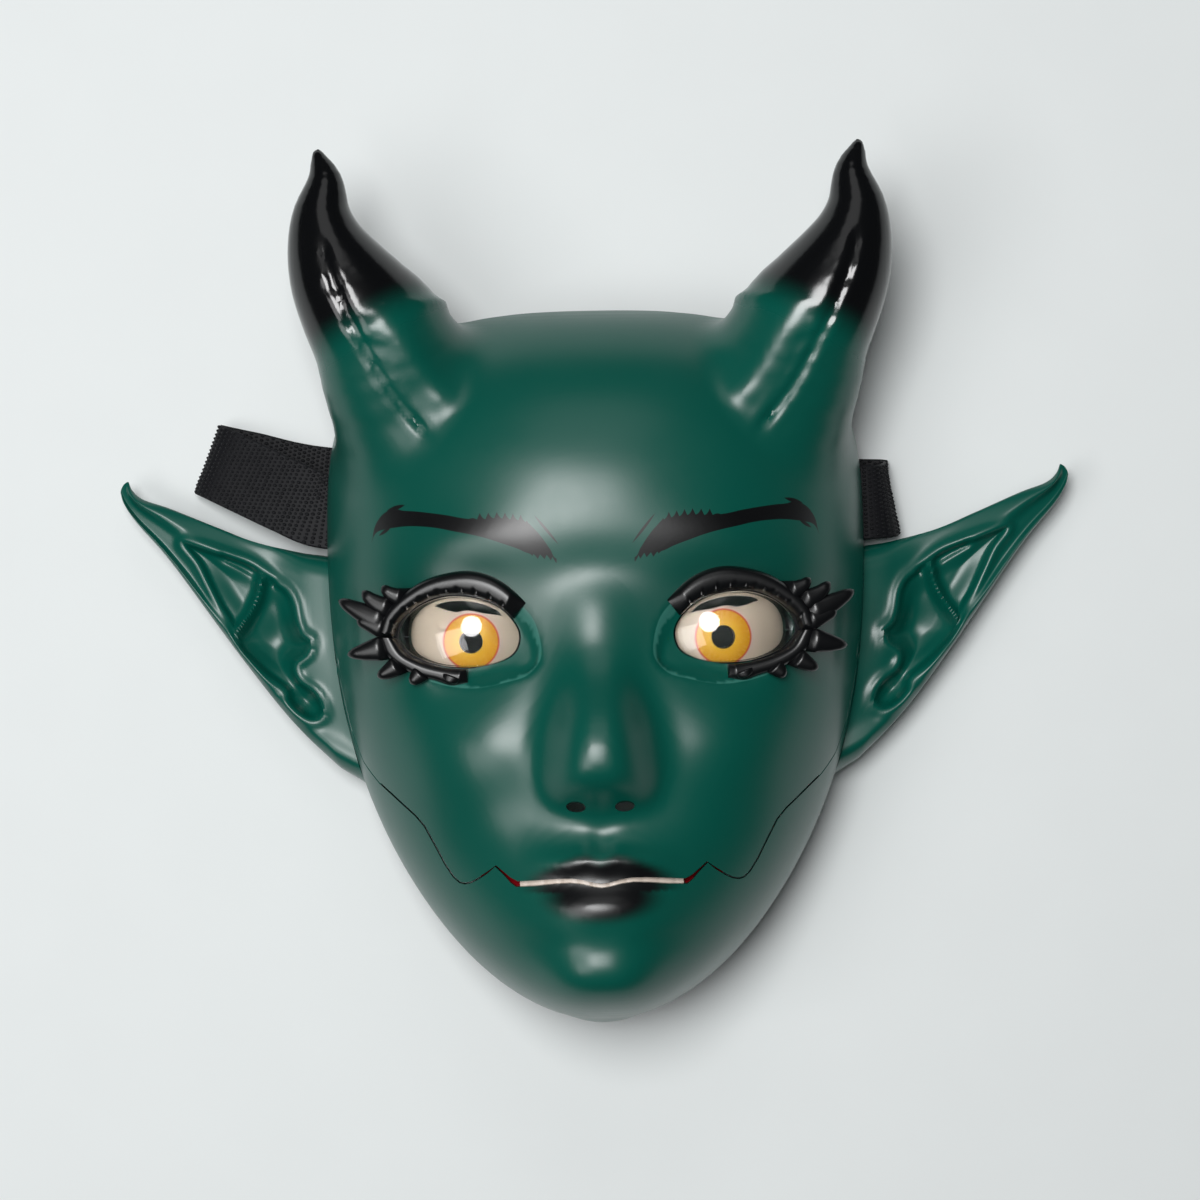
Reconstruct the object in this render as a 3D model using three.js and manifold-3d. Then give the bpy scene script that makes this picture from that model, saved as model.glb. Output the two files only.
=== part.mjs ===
// Horned creature mask: a moulded face shell with two horns, a hinged jaw, two elf ears, glazed eyes,
// moulded lashes, a row of teeth, a red mouth lining and an elastic head strap.
// It lies face up on its back rim. X runs across the face, Y towards the horns, Z out of the face.
// Places are first given in face coordinates, where y = 0 is a little above the eye line,
// and the whole mask is then moved by frameShift so that its box is centred on the origin.
import * as THREE from 'three';
import { mergeVertices } from 'three/addons/utils/BufferGeometryUtils.js';
import Module from 'manifold-3d';

const wasm = await Module();
wasm.setup();

// Driving dimensions, in millimetres
const frameShift = -5.4;
const wall = 3;
const fit = 0.3;
const halfWidth = 93;
const widestY = 20;
const chinReach = 161.5;
const crownReach = 80.8;
const faceDepth = 83.5;
const chinDepth = 87.5;
const tuckHeight = 45;

// Hinge of the jaw, and the seam that parts it from the face
const hinge = { y: -20, z: 22, armRadius: 9, bossRadius: 4, clearance: 0.45, seamGap: 0.35 };
const mouth = { halfWidth: 27.5, y: -91.2 };

// Eyes: iris centre, tilt outwards, lens and printed dome
const eye = { x: 40.4, y: -12.6, tilt: 0.13, apex: 79.4, lensRadius: 34, lensWall: 1.2, printWall: 1.6 };
const eyeGround = -1.6;
const pupilRadius = 3.5;
const slot = { y: 31.3, height: 27.6, z: 19, thickness: 4 };
const webbing = { width: 25, thickness: 1.5 };

const clamp = (v, lo = 0, hi = 1) => Math.min(hi, Math.max(lo, v));
const mix = (a, b, t) => a + (b - a) * t;
const smooth = (lo, hi, v) => {
  const t = clamp((v - lo) / (hi - lo));
  return t * t * (3 - 2 * t);
};
const bump = (d, width) => Math.exp(-((d / width) ** 2));
// Plan outline of the head without horns, as a half width at each height of the face
function outlineHalfWidth(y) {
  const below = clamp((widestY - y) / chinReach, 0, 0.97);
  const above = clamp((y - widestY) / crownReach, 0, 0.98);
  if (y < widestY) return halfWidth * (1 - below ** 2.3) ** (1 / 1.72);
  return halfWidth * (1 - above ** 3) ** (1 / 3);
}

// Depth of the plain head on its middle line
function middleDepth(y) {
  const below = clamp((widestY - y) / chinReach, 0, 0.97);
  const above = clamp((y - widestY) / crownReach, 0, 0.98);
  const full = mix(faceDepth, chinDepth, clamp((widestY - y) / 120));
  if (y < widestY) return full * (1 - below ** 8) ** (1 / 2.4);
  return full * (1 - above ** 2.4) ** (1 / 2.4);
}

// The face's own relief above the plain head; x is taken as positive
function relief(x, y) {
  let h = 0;
  // Brow ridge, eye sockets and the hollow beside the nose
  h += 2.2 * bump(x - 34, 26) * bump(y - 22, 11);
  h -= 4.5 * bump(x - 42, 23) * bump(y + 6, 15);
  h -= 3.2 * bump(x - 20, 9) * bump(y + 4, 13);
  // Cheeks
  h += 4.2 * bump(x - 49, 21) * bump(y + 42, 20);
  h -= 2.4 * bump(x - 44, 16) * bump(y + 78, 16);
  // Nose: bridge, back and rounded tip, with a wing on each side
  const back = smooth(12, -50, y) * smooth(-73, -54, y);
  const noseWidth = mix(6.5, 9.5, smooth(-10, -50, y));
  h += 18 * back ** 1.25 * bump(x, noseWidth);
  h += 7 * bump(x, 8.5) * bump(y + 53, 8.5);
  h += 10 * bump(x - 11.5, 6.2) * bump(y + 60.5, 7);
  // Muzzle, groove under the nose and lips
  h += 7 * bump(x, 27) * bump(y + 88, 22);
  h -= 1.4 * bump(x, 3.6) * bump(y + 76, 6);
  const lipFade = 1 - smooth(0.35, 1, x / mouth.halfWidth);
  h += 4.4 * lipFade * bump(y + 86.3 - 1.1 * bump(x - 5, 4), 3.9);
  h += 6.2 * lipFade * bump(x, 19) * bump(y + 95, 4.3);
  h -= 2.2 * bump(x, 20) * bump(y + 104, 5);
  // Chin
  h += 11.5 * bump(x, 21) * bump(y + 118, 16);
  return h;
}

// Plain head as a function that is zero on its surface; height is the relief added to it
function headField(x, y, z, detail) {
  const lowered = Math.max(tuckHeight - z, 0);
  const tuckX = 1 + 1.9e-5 * lowered * lowered;
  const tuckY = y < 0 ? 1 + 6e-5 * lowered * lowered : 1;
  const ax = Math.abs(x) * tuckX;
  const ay = y * tuckY;
  let height = z;
  if (z > 15) height -= relief(Math.abs(x), y) * detail * smooth(15, 45, z);
  const across = ax / outlineHalfWidth(ay);
  const outward = Math.max(height, 0) / middleDepth(ay);
  const reach = ay < widestY ? (widestY - ay) / chinReach : (ay - widestY) / crownReach;
  return across ** 2.6 + outward ** 2.2 + reach ** 40 - 1;
}

function headDistance(x, y, z, detail) {
  const e = 0.25;
  const f = headField(x, y, z, detail);
  const gx = headField(x + e, y, z, detail) - headField(x - e, y, z, detail);
  const gy = headField(x, y + e, z, detail) - headField(x, y - e, z, detail);
  const gz = headField(x, y, z + e, detail) - headField(x, y, z - e, detail);
  const slope = Math.hypot(gx, gy, gz) / (2 * e);
  return f / Math.max(slope, 1e-3);
}

// Outside of the head, with flat ground round each eye so that the lids sit in one plane
function outerDistance(x, y, z) {
  const ax = Math.abs(x);
  const d = headDistance(x, y, z, 1);
  const ground = bump(ax - eye.x - 3, 24) * bump(y - eye.y - 3, 18);
  if (z > 55 && ground > 0.05) {
    const plane = (z - eye.apex - eyeGround + eye.tilt * (ax - eye.x)) * 0.98;
    return mix(d, plane, clamp(ground * 1.2));
  }
  return d;
}

// Inside of the shell: the head again, with softer relief
function innerDistance(x, y, z) {
  return headDistance(x, y, z, 0.72) + wall;
}

// Grid lines that stand closer together inside the band from lo to hi
function gridLines(from, to, coarse, fine, lo, hi) {
  const lines = [];
  let at = from;
  while (at < to + coarse) {
    lines.push(at);
    const near = smooth(coarse * 2.5, 0, Math.max(lo - at, at - hi));
    at += mix(coarse, fine, near);
  }
  return lines;
}

// Closed mesh of the surface distance = 0, one vertex in each cell that it crosses
function surfaceMesh(distance, xs, ys, zs) {
  const [nx, ny, nz] = [xs.length, ys.length, zs.length];
  const values = new Float32Array(nx * ny * nz);
  const index = (i, j, k) => (k * ny + j) * nx + i;
  for (let k = 0; k < nz; k++) {
    for (let j = 0; j < ny; j++) {
      for (let i = 0; i < nx; i++) values[index(i, j, k)] = distance(xs[i], ys[j], zs[k]);
    }
  }
  // A cell face whose corners alternate would pinch the skin, so its nearest outer corner is taken in
  const steps = [1, nx, nx * ny];
  for (let pass = 0; pass < 4; pass++) {
    for (let at = 0; at + steps[2] + nx + 1 < values.length; at++) {
      for (const [a, b] of [[steps[0], steps[1]], [steps[1], steps[2]], [steps[0], steps[2]]]) {
        const ring = [at, at + a, at + a + b, at + b];
        const signs = ring.map((n) => values[n] < 0);
        if (signs[0] === signs[1] || signs[0] !== signs[2] || signs[1] !== signs[3]) continue;
        const outer = ring.filter((n) => values[n] >= 0).sort((m, n) => values[m] - values[n]);
        values[outer[0]] = -1e-3;
      }
    }
  }
  const points = [];
  const cellPoint = new Map();
  const corners = [0, 1, 2, 3, 4, 5, 6, 7].map((c) => [c & 1, (c >> 1) & 1, (c >> 2) & 1]);
  const edges = [];
  for (let a = 0; a < 8; a++) {
    for (const bit of [1, 2, 4]) if (!(a & bit)) edges.push([a, a | bit]);
  }
  const settle = (p) => {
    const e = 0.2;
    for (let n = 0; n < 8; n++) {
      const d = distance(...p);
      const g = p.map((_, axis) => {
        const hi = p.slice();
        const lo = p.slice();
        hi[axis] += e;
        lo[axis] -= e;
        return (distance(...hi) - distance(...lo)) / (2 * e);
      });
      const size = Math.max(g[0] ** 2 + g[1] ** 2 + g[2] ** 2, 0.3);
      const step = clamp(d, -2, 2) / size;
      p = p.map((v, axis) => v - g[axis] * step * 0.9);
    }
    return p;
  };
  for (let k = 0; k + 1 < nz; k++) {
    for (let j = 0; j + 1 < ny; j++) {
      for (let i = 0; i + 1 < nx; i++) {
        const v = corners.map(([a, b, c]) => values[index(i + a, j + b, k + c)]);
        const inside = v.filter((value) => value < 0).length;
        if (inside === 0 || inside === 8) continue;
        const sum = [0, 0, 0];
        let count = 0;
        for (const [a, b] of edges) {
          if (v[a] < 0 === v[b] < 0) continue;
          const t = v[a] / (v[a] - v[b]);
          const [pa, pb] = [corners[a], corners[b]];
          sum[0] += mix(xs[i + pa[0]], xs[i + pb[0]], t);
          sum[1] += mix(ys[j + pa[1]], ys[j + pb[1]], t);
          sum[2] += mix(zs[k + pa[2]], zs[k + pb[2]], t);
          count++;
        }
        const start = sum.map((s) => s / count);
        const settled = settle(start);
        const lo = [xs[i], ys[j], zs[k]];
        const hi = [xs[i + 1], ys[j + 1], zs[k + 1]];
        cellPoint.set(index(i, j, k), points.length / 3);
        points.push(...settled.map((value, axis) => clamp(value, lo[axis], hi[axis])));
      }
    }
  }
  const faces = [];
  const quad = (a, b, c, d, flip) => {
    const [p, q, r, s] = [a, b, c, d].map((cell) => cellPoint.get(cell));
    if (flip) faces.push(p, r, q, p, s, r);
    else faces.push(p, q, r, p, r, s);
  };
  for (let k = 0; k + 1 < nz; k++) {
    for (let j = 0; j + 1 < ny; j++) {
      for (let i = 0; i + 1 < nx; i++) {
        const here = values[index(i, j, k)] < 0;
        if (j && k && here !== values[index(i + 1, j, k)] < 0) {
          quad(index(i, j - 1, k - 1), index(i, j, k - 1), index(i, j, k), index(i, j - 1, k), !here);
        }
        if (i && k && here !== values[index(i, j + 1, k)] < 0) {
          quad(index(i - 1, j, k - 1), index(i, j, k - 1), index(i, j, k), index(i - 1, j, k), here);
        }
        if (i && j && here !== values[index(i, j, k + 1)] < 0) {
          quad(index(i - 1, j - 1, k), index(i, j - 1, k), index(i, j, k), index(i - 1, j, k), !here);
        }
      }
    }
  }
  return solidFrom(points, faces);
}

function solidFrom(points, faces) {
  const mesh = new wasm.Mesh({
    numProp: 3,
    vertProperties: new Float32Array(points),
    triVerts: new Uint32Array(faces),
  });
  return new wasm.Manifold(mesh);
}

// Solid of a closed three.js geometry
function solidOf(geometry) {
  const bare = geometry.index ? geometry.toNonIndexed() : geometry.clone();
  for (const name of Object.keys(bare.attributes)) if (name !== 'position') bare.deleteAttribute(name);
  const merged = mergeVertices(bare, 1e-4);
  return solidFrom(merged.attributes.position.array, merged.index.array);
}

function geometryOf(solid) {
  const { vertProperties, triVerts, numProp } = solid.getMesh();
  const geometry = new THREE.BufferGeometry();
  const count = vertProperties.length / numProp;
  const positions = new Float32Array(count * 3);
  for (let i = 0; i < count; i++) {
    for (let axis = 0; axis < 3; axis++) positions[i * 3 + axis] = vertProperties[i * numProp + axis];
  }
  geometry.setAttribute('position', new THREE.BufferAttribute(positions, 3));
  geometry.setIndex(new THREE.BufferAttribute(new Uint32Array(triVerts), 1));
  geometry.computeVertexNormals();
  return geometry;
}

const shapeOf = (points) => new THREE.Shape(points.map(([x, y]) => new THREE.Vector2(x, y)));

// Prism of an outline in XY, from low to high in Z
function prism(points, low, high) {
  const geometry = new THREE.ExtrudeGeometry(shapeOf(points), { depth: high - low, bevelEnabled: false });
  geometry.translate(0, 0, low);
  return geometry;
}

// Prism of an outline given as [y, z], from low to high in X
function sidePrism(points, low, high) {
  const geometry = prism(points, low, high);
  geometry.applyMatrix4(new THREE.Matrix4().makeBasis(
    new THREE.Vector3(0, 1, 0), new THREE.Vector3(0, 0, 1), new THREE.Vector3(1, 0, 0)));
  return geometry;
}

const mirrored = (geometry) => {
  const copy = geometry.index ? geometry.toNonIndexed() : geometry.clone();
  copy.scale(-1, 1, 1);
  const p = copy.attributes.position;
  for (let i = 0; i < p.count; i += 3) {
    const [x, y, z] = [p.getX(i + 1), p.getY(i + 1), p.getZ(i + 1)];
    p.setXYZ(i + 1, p.getX(i + 2), p.getY(i + 2), p.getZ(i + 2));
    p.setXYZ(i + 2, x, y, z);
  }
  return copy;
};

const arcPoints = (cx, cy, radius, from, to, steps) => Array.from({ length: steps + 1 }, (_, i) => {
  const angle = mix(from, to, i / steps);
  return [cx + radius * Math.cos(angle), cy + radius * Math.sin(angle)];
});

// Seam between face and jaw on the front, from the mouth corner to the temple, for x > 0
const seamFront = [
  [mouth.halfWidth, mouth.y + 0.2], [33.9, -84.5], [42.5, -90], [45.5, -90.2], [50.5, -84.5],
  [57, -72], [64, -65.5], [71.8, -59],
];
// The same seam on the side wall, as [y, z], from the temple to the jaw's arm
const seamSide = [[-59, 49], [-52, 39], [-42, 33]];

// Where the arm's back edge leaves the circle round the hinge, and the y it runs down to.
// The face is cut further back than the jaw, so that the arm can swing.
const armBack = { angle: -Math.PI * 0.5, y: -31 };
const recessBack = { angle: -Math.PI * 0.4, y: -17 };

// Everything that belongs to the jaw: below the front seam, and below the side seam round the hinge
function jawRegion(grow, back) {
  const half = seamFront.map(([x, y]) => [x, y + grow]);
  const lips = [[-mouth.halfWidth, mouth.y + grow], [0, mouth.y - 0.9 + grow]];
  const left = half.map(([x, y]) => [-x, y]).reverse();
  const front = [
    ...left, lips[1], ...half, [72, -59 + grow], [72, -170], [-72, -170], [-72, -59 + grow],
  ];
  const frontSolid = solidOf(prism(front, -30, 140));
  const radius = hinge.armRadius + grow;
  const side = [
    ...seamSide.map(([y, z]) => [y + grow * 0.6, z + grow * 0.8]),
    ...arcPoints(hinge.y, hinge.z, radius, Math.PI * 0.68, back.angle, 12),
    [back.y, -30], [-170, -30], [-170, 140], [-59 + grow, 140],
  ];
  const outer = solidOf(sidePrism(side, 71.8, 120));
  const inner = solidOf(mirrored(sidePrism(side, 71.8, 120)));
  const underCheek = [[-50 + grow, -30], [-50 + grow, 44 + grow], [-170, 44 + grow], [-170, -30]];
  const low = solidOf(sidePrism(underCheek, -72, 72));
  return frontSolid.add(outer).add(inner).add(low);
}

// Back rim: what lies behind these side-view lines is cut away
const jawRim = [
  [60, -60], [60, -0.4], [-20, 0.6], [-46, 6.2], [-128, 23.6], [-175, 33.6], [-175, -60],
];
const faceRim = [
  [160, -60], [160, 60], [128, 47], [98, 34.5], [60, 18.5], [24, 4.2], [15, 0], [-175, 0], [-175, -60],
];
const behind = (outline) => solidOf(sidePrism(outline, -150, 150));

// Almond outline of the eye opening round the iris centre, as [outwards, up]
const almondPoints = [
  [-15.9, 0.5], [-14.2, 5.6], [-9, 10.9], [-1.5, 13.6], [8, 14.2], [16, 11.6], [21.6, 6.2],
  [21.9, 0.6], [18.2, -4.2], [11.6, -8.3], [3, -9.6], [-6.2, -8.6], [-13.6, -5.4],
];
const almond = new THREE.CatmullRomCurve3(
  almondPoints.map(([x, y]) => new THREE.Vector3(x, y, 0)), true);
const almondMiddle = { x: 3, y: 2 };
function almondOutline(grow, steps) {
  return almond.getSpacedPoints(steps).slice(0, steps).map(({ x, y }) => {
    const [dx, dy] = [x - almondMiddle.x, y - almondMiddle.y];
    const scale = grow / Math.hypot(dx, dy);
    return [x + dx * scale, y + dy * scale];
  });
}

const eyeMatrix = new THREE.Matrix4().makeRotationY(eye.tilt)
  .setPosition(eye.x, eye.y, eye.apex);
const toEye = (geometry) => geometry.applyMatrix4(eyeMatrix);

// Dome with its top at the origin of the eye frame, shifted back by drop
function dome(radius, thickness, drop, spread) {
  const arc = (r, from, to, steps) => arcPoints(0, drop - radius, r, from, to, steps)
    .map(([x, y]) => new THREE.Vector2(Math.max(x, 0), y));
  const low = Math.PI / 2 - spread;
  const profile = [
    ...arc(radius - thickness, Math.PI / 2, low, 2), ...arc(radius, low, Math.PI / 2, 2),
  ];
  const geometry = new THREE.LatheGeometry(profile, 12);
  geometry.rotateX(Math.PI / 2);
  geometry.translate(almondMiddle.x, almondMiddle.y, 0);
  return geometry;
}

const lensDrop = -0.2;
const printDrop = lensDrop - eye.lensWall - fit;
const printRadius = eye.lensRadius - eye.lensWall - fit;
const eyeOpening = toEye(prism(almondOutline(0, 16), -40, 30));
const lens = solidOf(toEye(dome(eye.lensRadius, eye.lensWall, lensDrop, 0.98)))
  .intersect(solidOf(toEye(prism(almondOutline(-0.35, 16), -30, 10))));
const pupil = toEye(prism(arcPoints(0, 0, pupilRadius, 0, Math.PI * 2 * (11 / 12), 11), -30, 10));
const peepSlot = toEye(prism(
  [[-7, 9.6], [-1, 10.4], [5, 8.6], [11, 9.4], [11.6, 12.2], [5, 13.2], [-3, 12.6]], -30, 10));
const printed = solidOf(toEye(dome(printRadius, eye.printWall, printDrop, 0.98)))
  .intersect(solidOf(toEye(prism(almondOutline(2.6, 16), -30, 10))))
  .subtract(solidOf(pupil)).subtract(solidOf(peepSlot));
const printPocket = solidOf(toEye(dome(printRadius + fit, printRadius, printDrop + fit, 0.98)))
  .add(solidOf(toEye(prism(almondOutline(2.9, 16), -45, -14))))
  .intersect(solidOf(toEye(prism(almondOutline(2.9, 16), -45, 10))));

// Grid of the head: finer over nose and mouth
const across = (first, last, coarse, fine, edge) => {
  const half = gridLines(first, last, coarse, fine, 0, edge);
  return [...half.map((v) => -v).reverse(), ...half];
};
const xs = across(2.2, 104, 14.6, 4.5, 11);
const ys = gridLines(-146, 106, 15, 5.4, -96, -50);
const zs = gridLines(-12, 122, 14.4, 14.4, 0, 0);
const outerFloor = -10;
const innerFloor = -11;
const grown = (amount) => surfaceMesh(
  (x, y, z) => Math.max(outerDistance(x, y, z) - amount, outerFloor - z), xs, ys, zs);
const outerSolid = grown(0);
const innerSolid = surfaceMesh(
  (x, y, z) => Math.max(innerDistance(x, y, z), innerFloor - z),
  across(8, 100, 16, 16, 0), gridLines(-142, 130, 16, 16, 0, 0), gridLines(-15, 112, 15, 15, 0, 0));
const besideFace = grown(0.35);
const clearOfJaw = grown(1.5).intersect(jawRegion(1, recessBack));

const both = (geometry) => solidOf(geometry).add(solidOf(mirrored(geometry)));

// Rings of points joined into one closed skin with its faces outwards
function skin(rings) {
  const points = rings.flat(2);
  const size = rings[0].length;
  const faces = [];
  for (let i = 0; i + 1 < rings.length; i++) {
    for (let j = 0; j < size; j++) {
      const [a, b] = [i * size + j, i * size + (j + 1) % size];
      faces.push(a, b, b + size, a, b + size, a + size);
    }
  }
  const end = (rings.length - 1) * size;
  for (let j = 1; j + 1 < size; j++) faces.push(0, j + 1, j, end, end + j, end + j + 1);
  const corner = (n) => new THREE.Vector3().fromArray(points, faces[n] * 3);
  let volume = 0;
  for (let n = 0; n < faces.length; n += 3) volume += corner(n).dot(corner(n + 1).cross(corner(n + 2)));
  if (volume < 0) faces.reverse();
  const geometry = new THREE.BufferGeometry();
  geometry.setAttribute('position', new THREE.BufferAttribute(new Float32Array(points), 3));
  geometry.setIndex(faces);
  return geometry;
}

// Horn: centre line and radius from the root inside the forehead to the tip
const hornStations = [
  { at: [50, 44, 33], radius: 15 },
  { at: [60, 68, 43], radius: 23.4 },
  { at: [68, 86, 50], radius: 22.6 },
  { at: [75, 96.3, 54.5], radius: 20 },
  { at: [81, 106, 57], radius: 16.8 },
  { at: [85.3, 116, 58.2], radius: 13 },
  { at: [87, 126, 58.5], radius: 9.6 },
  { at: [85.7, 137.5, 58], radius: 5.8 },
  { at: [88, 147.2, 57], radius: 1.6 },
];
const hornCentre = new THREE.CatmullRomCurve3(hornStations.map(({ at }) => new THREE.Vector3(...at)));
const hornSides = 12;
function hornSkin(steps, lastStation, sides, inset) {
  const rings = Array.from({ length: steps + 1 }, (_, i) => {
    const place = (i / steps) * lastStation;
    const low = Math.min(Math.floor(place), hornStations.length - 2);
    const radius = mix(hornStations[low].radius, hornStations[low + 1].radius, place - low) - inset;
    const along = place / (hornStations.length - 1);
    const centre = hornCentre.getPoint(along);
    const tangent = hornCentre.getTangent(along);
    const side = new THREE.Vector3(0, 0, 1).cross(tangent).normalize();
    const front = tangent.clone().cross(side);
    return Array.from({ length: sides }, (_, j) => {
      const angle = (j / sides) * Math.PI * 2;
      return centre.clone().addScaledVector(side, Math.cos(angle) * radius)
        .addScaledVector(front, Math.sin(angle) * radius).toArray();
    });
  });
  return skin(rings);
}

const shell = outerSolid.add(both(hornSkin(15, 8, hornSides, 0)))
  .subtract(innerSolid).subtract(both(hornSkin(6, 6, 8, wall + 0.6)));

// Height of the outside of the face at a place
function frontHeight(x, y) {
  let [low, high] = [20, 125];
  for (let n = 0; n < 18; n++) {
    const middle = (low + high) / 2;
    if (outerDistance(x, y, middle) < 0) low = middle;
    else high = middle;
  }
  return low;
}

// Curved bar behind the lips: its front lies at a given depth behind the outside of the face
const lipBarTop = -80;
const lipBarKnee = -91.4;
function lipBar(reach, top, bottomAt, depth, thickness, steps) {
  const rings = Array.from({ length: steps + 1 }, (_, i) => {
    const x = mix(-reach, reach, i / steps);
    const lower = Math.min(frontHeight(x, mouth.y), frontHeight(x, mouth.y - 2.5)) - depth;
    const upper = Math.min(lower, frontHeight(x, lipBarTop) - depth);
    const bottom = bottomAt(Math.abs(x));
    const knee = Math.max(lipBarKnee, bottom + 0.5);
    const front = [[x, bottom, lower], [x, knee, lower], [x, top, upper]];
    return [...front, ...front.map(([px, py, pz]) => [px, py, pz - thickness]).reverse()];
  });
  return skin(rings);
}
const seamHeight = (x) => {
  const after = seamFront.findIndex(([sx]) => sx > x);
  if (after <= 0) return mouth.y;
  const [[ax, ay], [bx, by]] = [seamFront[after - 1], seamFront[after]];
  return mix(ay, by, (x - ax) / (bx - ax));
};
const mouthPocket = lipBar(45.5, lipBarTop, () => -97.5, 3, 25, 14);
const teethBar = lipBar(26, lipBarTop - 0.3, () => mouth.y - 0.75, 3.35, 2, 8);
const liningBar = lipBar(39, lipBarTop - 0.3, (x) => seamHeight(x) - 2.2, 6.7, 1.5, 12);

// Cheek tab inside each jaw arm, with the pivot boss
const tabLine = { low: [75.6, -45], high: [83.2, -6] };
const tab = prism([
  [tabLine.low[0] - 2.6, -45], [tabLine.low[0], -45], [tabLine.high[0], -7], [88, -5], [88, 5],
  [tabLine.high[0] - 2.4, 5], [tabLine.high[0] - 2.8, -7],
], 0, 33);
const boss = new THREE.CylinderGeometry(hinge.bossRadius, hinge.bossRadius, 7.4, 16);
boss.rotateZ(Math.PI / 2);
boss.translate(83.8, hinge.y, hinge.z);
const pivotRadius = hinge.bossRadius + hinge.clearance;
const pivotHole = new THREE.CylinderGeometry(pivotRadius, pivotRadius, 30, 16);
pivotHole.rotateZ(Math.PI / 2);
pivotHole.translate(88, hinge.y, hinge.z);

const strapSlot = new THREE.BoxGeometry(30, slot.height, slot.thickness);
strapSlot.translate(90, slot.y, slot.z);
const nostril = new THREE.CylinderGeometry(1.7, 1.7, 34, 8);
nostril.scale(1.45, 1, 1);
nostril.rotateX(0.9);
nostril.rotateZ(-0.12);
nostril.translate(7.6, -66, 92);

const faceSolid = shell
  .subtract(jawRegion(hinge.seamGap, recessBack))
  .subtract(behind(faceRim))
  .subtract(both(strapSlot))
  .subtract(both(nostril))
  .subtract(both(eyeOpening))
  .subtract(printPocket).subtract(solidOf(mirrored(geometryOf(printPocket))))
  .subtract(solidOf(mouthPocket))
  .add(both(tab)).add(both(boss));
const jawSolid = shell
  .intersect(jawRegion(-hinge.seamGap, armBack))
  .subtract(behind(jawRim))
  .subtract(both(pivotHole))
  .subtract(solidOf(mouthPocket));

// Lashes: a band along the lid with spikes, as [outwards, up] round the iris centre
const upperBand = [
  [22.6, 1.4], [20.7, 7], [15.9, 11.1], [12.4, 13.2], [5.7, 13.4], [-1.6, 12.4], [-6.4, 10.2], [-12.7, 7],
  [-16.7, 11.3], [-10.4, 17.2], [-4.1, 20.4], [3.2, 21], [13, 19.1], [20.7, 14.7], [27, 8], [28.5, 2.2],
];
const upperSpikes = [
  [22.6, 1.4], [20.7, 7], [17, 11], [20.7, 14.7], [26.2, 17.2], [25.5, 10.8], [33.9, 15.6], [32, 9.6],
  [42, 12.6], [37.5, 6.6], [29.6, 3.4],
];
const lowerBand = [
  [22.9, 0.6], [19.7, -4.5], [15.4, -7.3], [11.1, -8.9], [1.6, -9.2], [1.9, -13.6], [7, -15], [11.6, -12.8],
  [18, -11.6], [24, -8], [28.5, -2], [28.6, 1.2],
];
const lowerSpikes = [
  [22.9, 0.6], [19.7, -4.5], [11.8, -12.6], [18.5, -14.4], [20.4, -10.4], [29.4, -12.6], [27, -5.6],
  [39.6, -5.6], [33.6, 0.2], [28.6, 1.2],
];
const lashTop = 1.4;
const lashThickness = 2.2;
function lash(band, spikes) {
  const curl = (geometry) => {
    const p = geometry.attributes.position;
    for (let i = 0; i < p.count; i++) p.setZ(i, p.getZ(i) - 0.006 * Math.max(p.getX(i) - 22, 0) ** 2);
    return toEye(geometry);
  };
  return solidOf(curl(prism(band, -6, lashTop)))
    .add(solidOf(curl(prism(spikes, lashTop - lashThickness, lashTop))));
}

// Ears: the outer edge, the upper edge, and relief over the blade between them
const earOuter = new THREE.CatmullRomCurve3([
  [84.5, -61], [105.5, -38.4], [125.4, -11.1], [144, 16.2], [155.4, 29.9], [160.3, 41.4],
].map(([x, y]) => new THREE.Vector3(x, y, 0)));
const earUpper = new THREE.CatmullRomCurve3([
  [93.4, 16.4], [115.6, 22], [132.4, 29.2], [150.6, 36.9], [159.6, 42.8],
].map(([x, y]) => new THREE.Vector3(x, y, 0)));
const earSteps = { along: 11, across: 7 };
function earHeight(s, t) {
  let z = mix(25, 13, s ** 0.8) - 4 * (1 - t) * (1 - s);
  z += 4.2 * bump(t - 0.06, 0.09) * (1 - smooth(0.7, 1, s));
  z -= 8.5 * bump(t - 0.4, 0.19) * bump(s - 0.2, 0.2);
  z -= 3 * bump(t - 0.3, 0.13) * bump(s - 0.55, 0.2);
  z += 3.4 * bump(t - 0.56 - 0.3 * (s - 0.3), 0.09) * smooth(0.1, 0.3, s) * (1 - smooth(0.55, 0.8, s));
  z += 2.4 * bump(t - 0.95, 0.1) * (1 - smooth(0.8, 1, s));
  return z;
}
// Ring 0 is sunk into the head's side wall, and the wall is then cut out of the ear
const wallSink = 4;
function ear() {
  const rings = Array.from({ length: earSteps.along + 2 }, (_, i) => {
    const s = Math.max(i - 1, 0) / earSteps.along;
    const [lower, upper] = [earOuter.getPoint(s), earUpper.getPoint(s)];
    const top = [];
    const bottom = [];
    for (let j = 0; j <= earSteps.across; j++) {
      const t = j / earSteps.across;
      const y = mix(lower.y, upper.y, t);
      const chord = mix(earOuter.points[0].x, earUpper.points[0].x, t);
      const wallX = outlineHalfWidth(mix(earOuter.points[0].y, earUpper.points[0].y, t));
      const beside = (wallX - chord) * (1 - s) ** 3;
      const x = mix(lower.x, upper.x, t) + beside - (i === 0 ? wallSink : 0);
      const root = 1 - smooth(0, 0.14, s);
      const edge = Math.min(1, 4 * t, 4 * (1 - t));
      const z = earHeight(s, t) + 3 * root;
      top.push([x, y, z]);
      bottom.unshift([x, y, z - mix(mix(1.4, 3, edge), 20, root) * mix(1, 0.55, s)]);
    }
    return [...bottom, ...top];
  });
  return solidOf(skin(rings));
}

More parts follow.
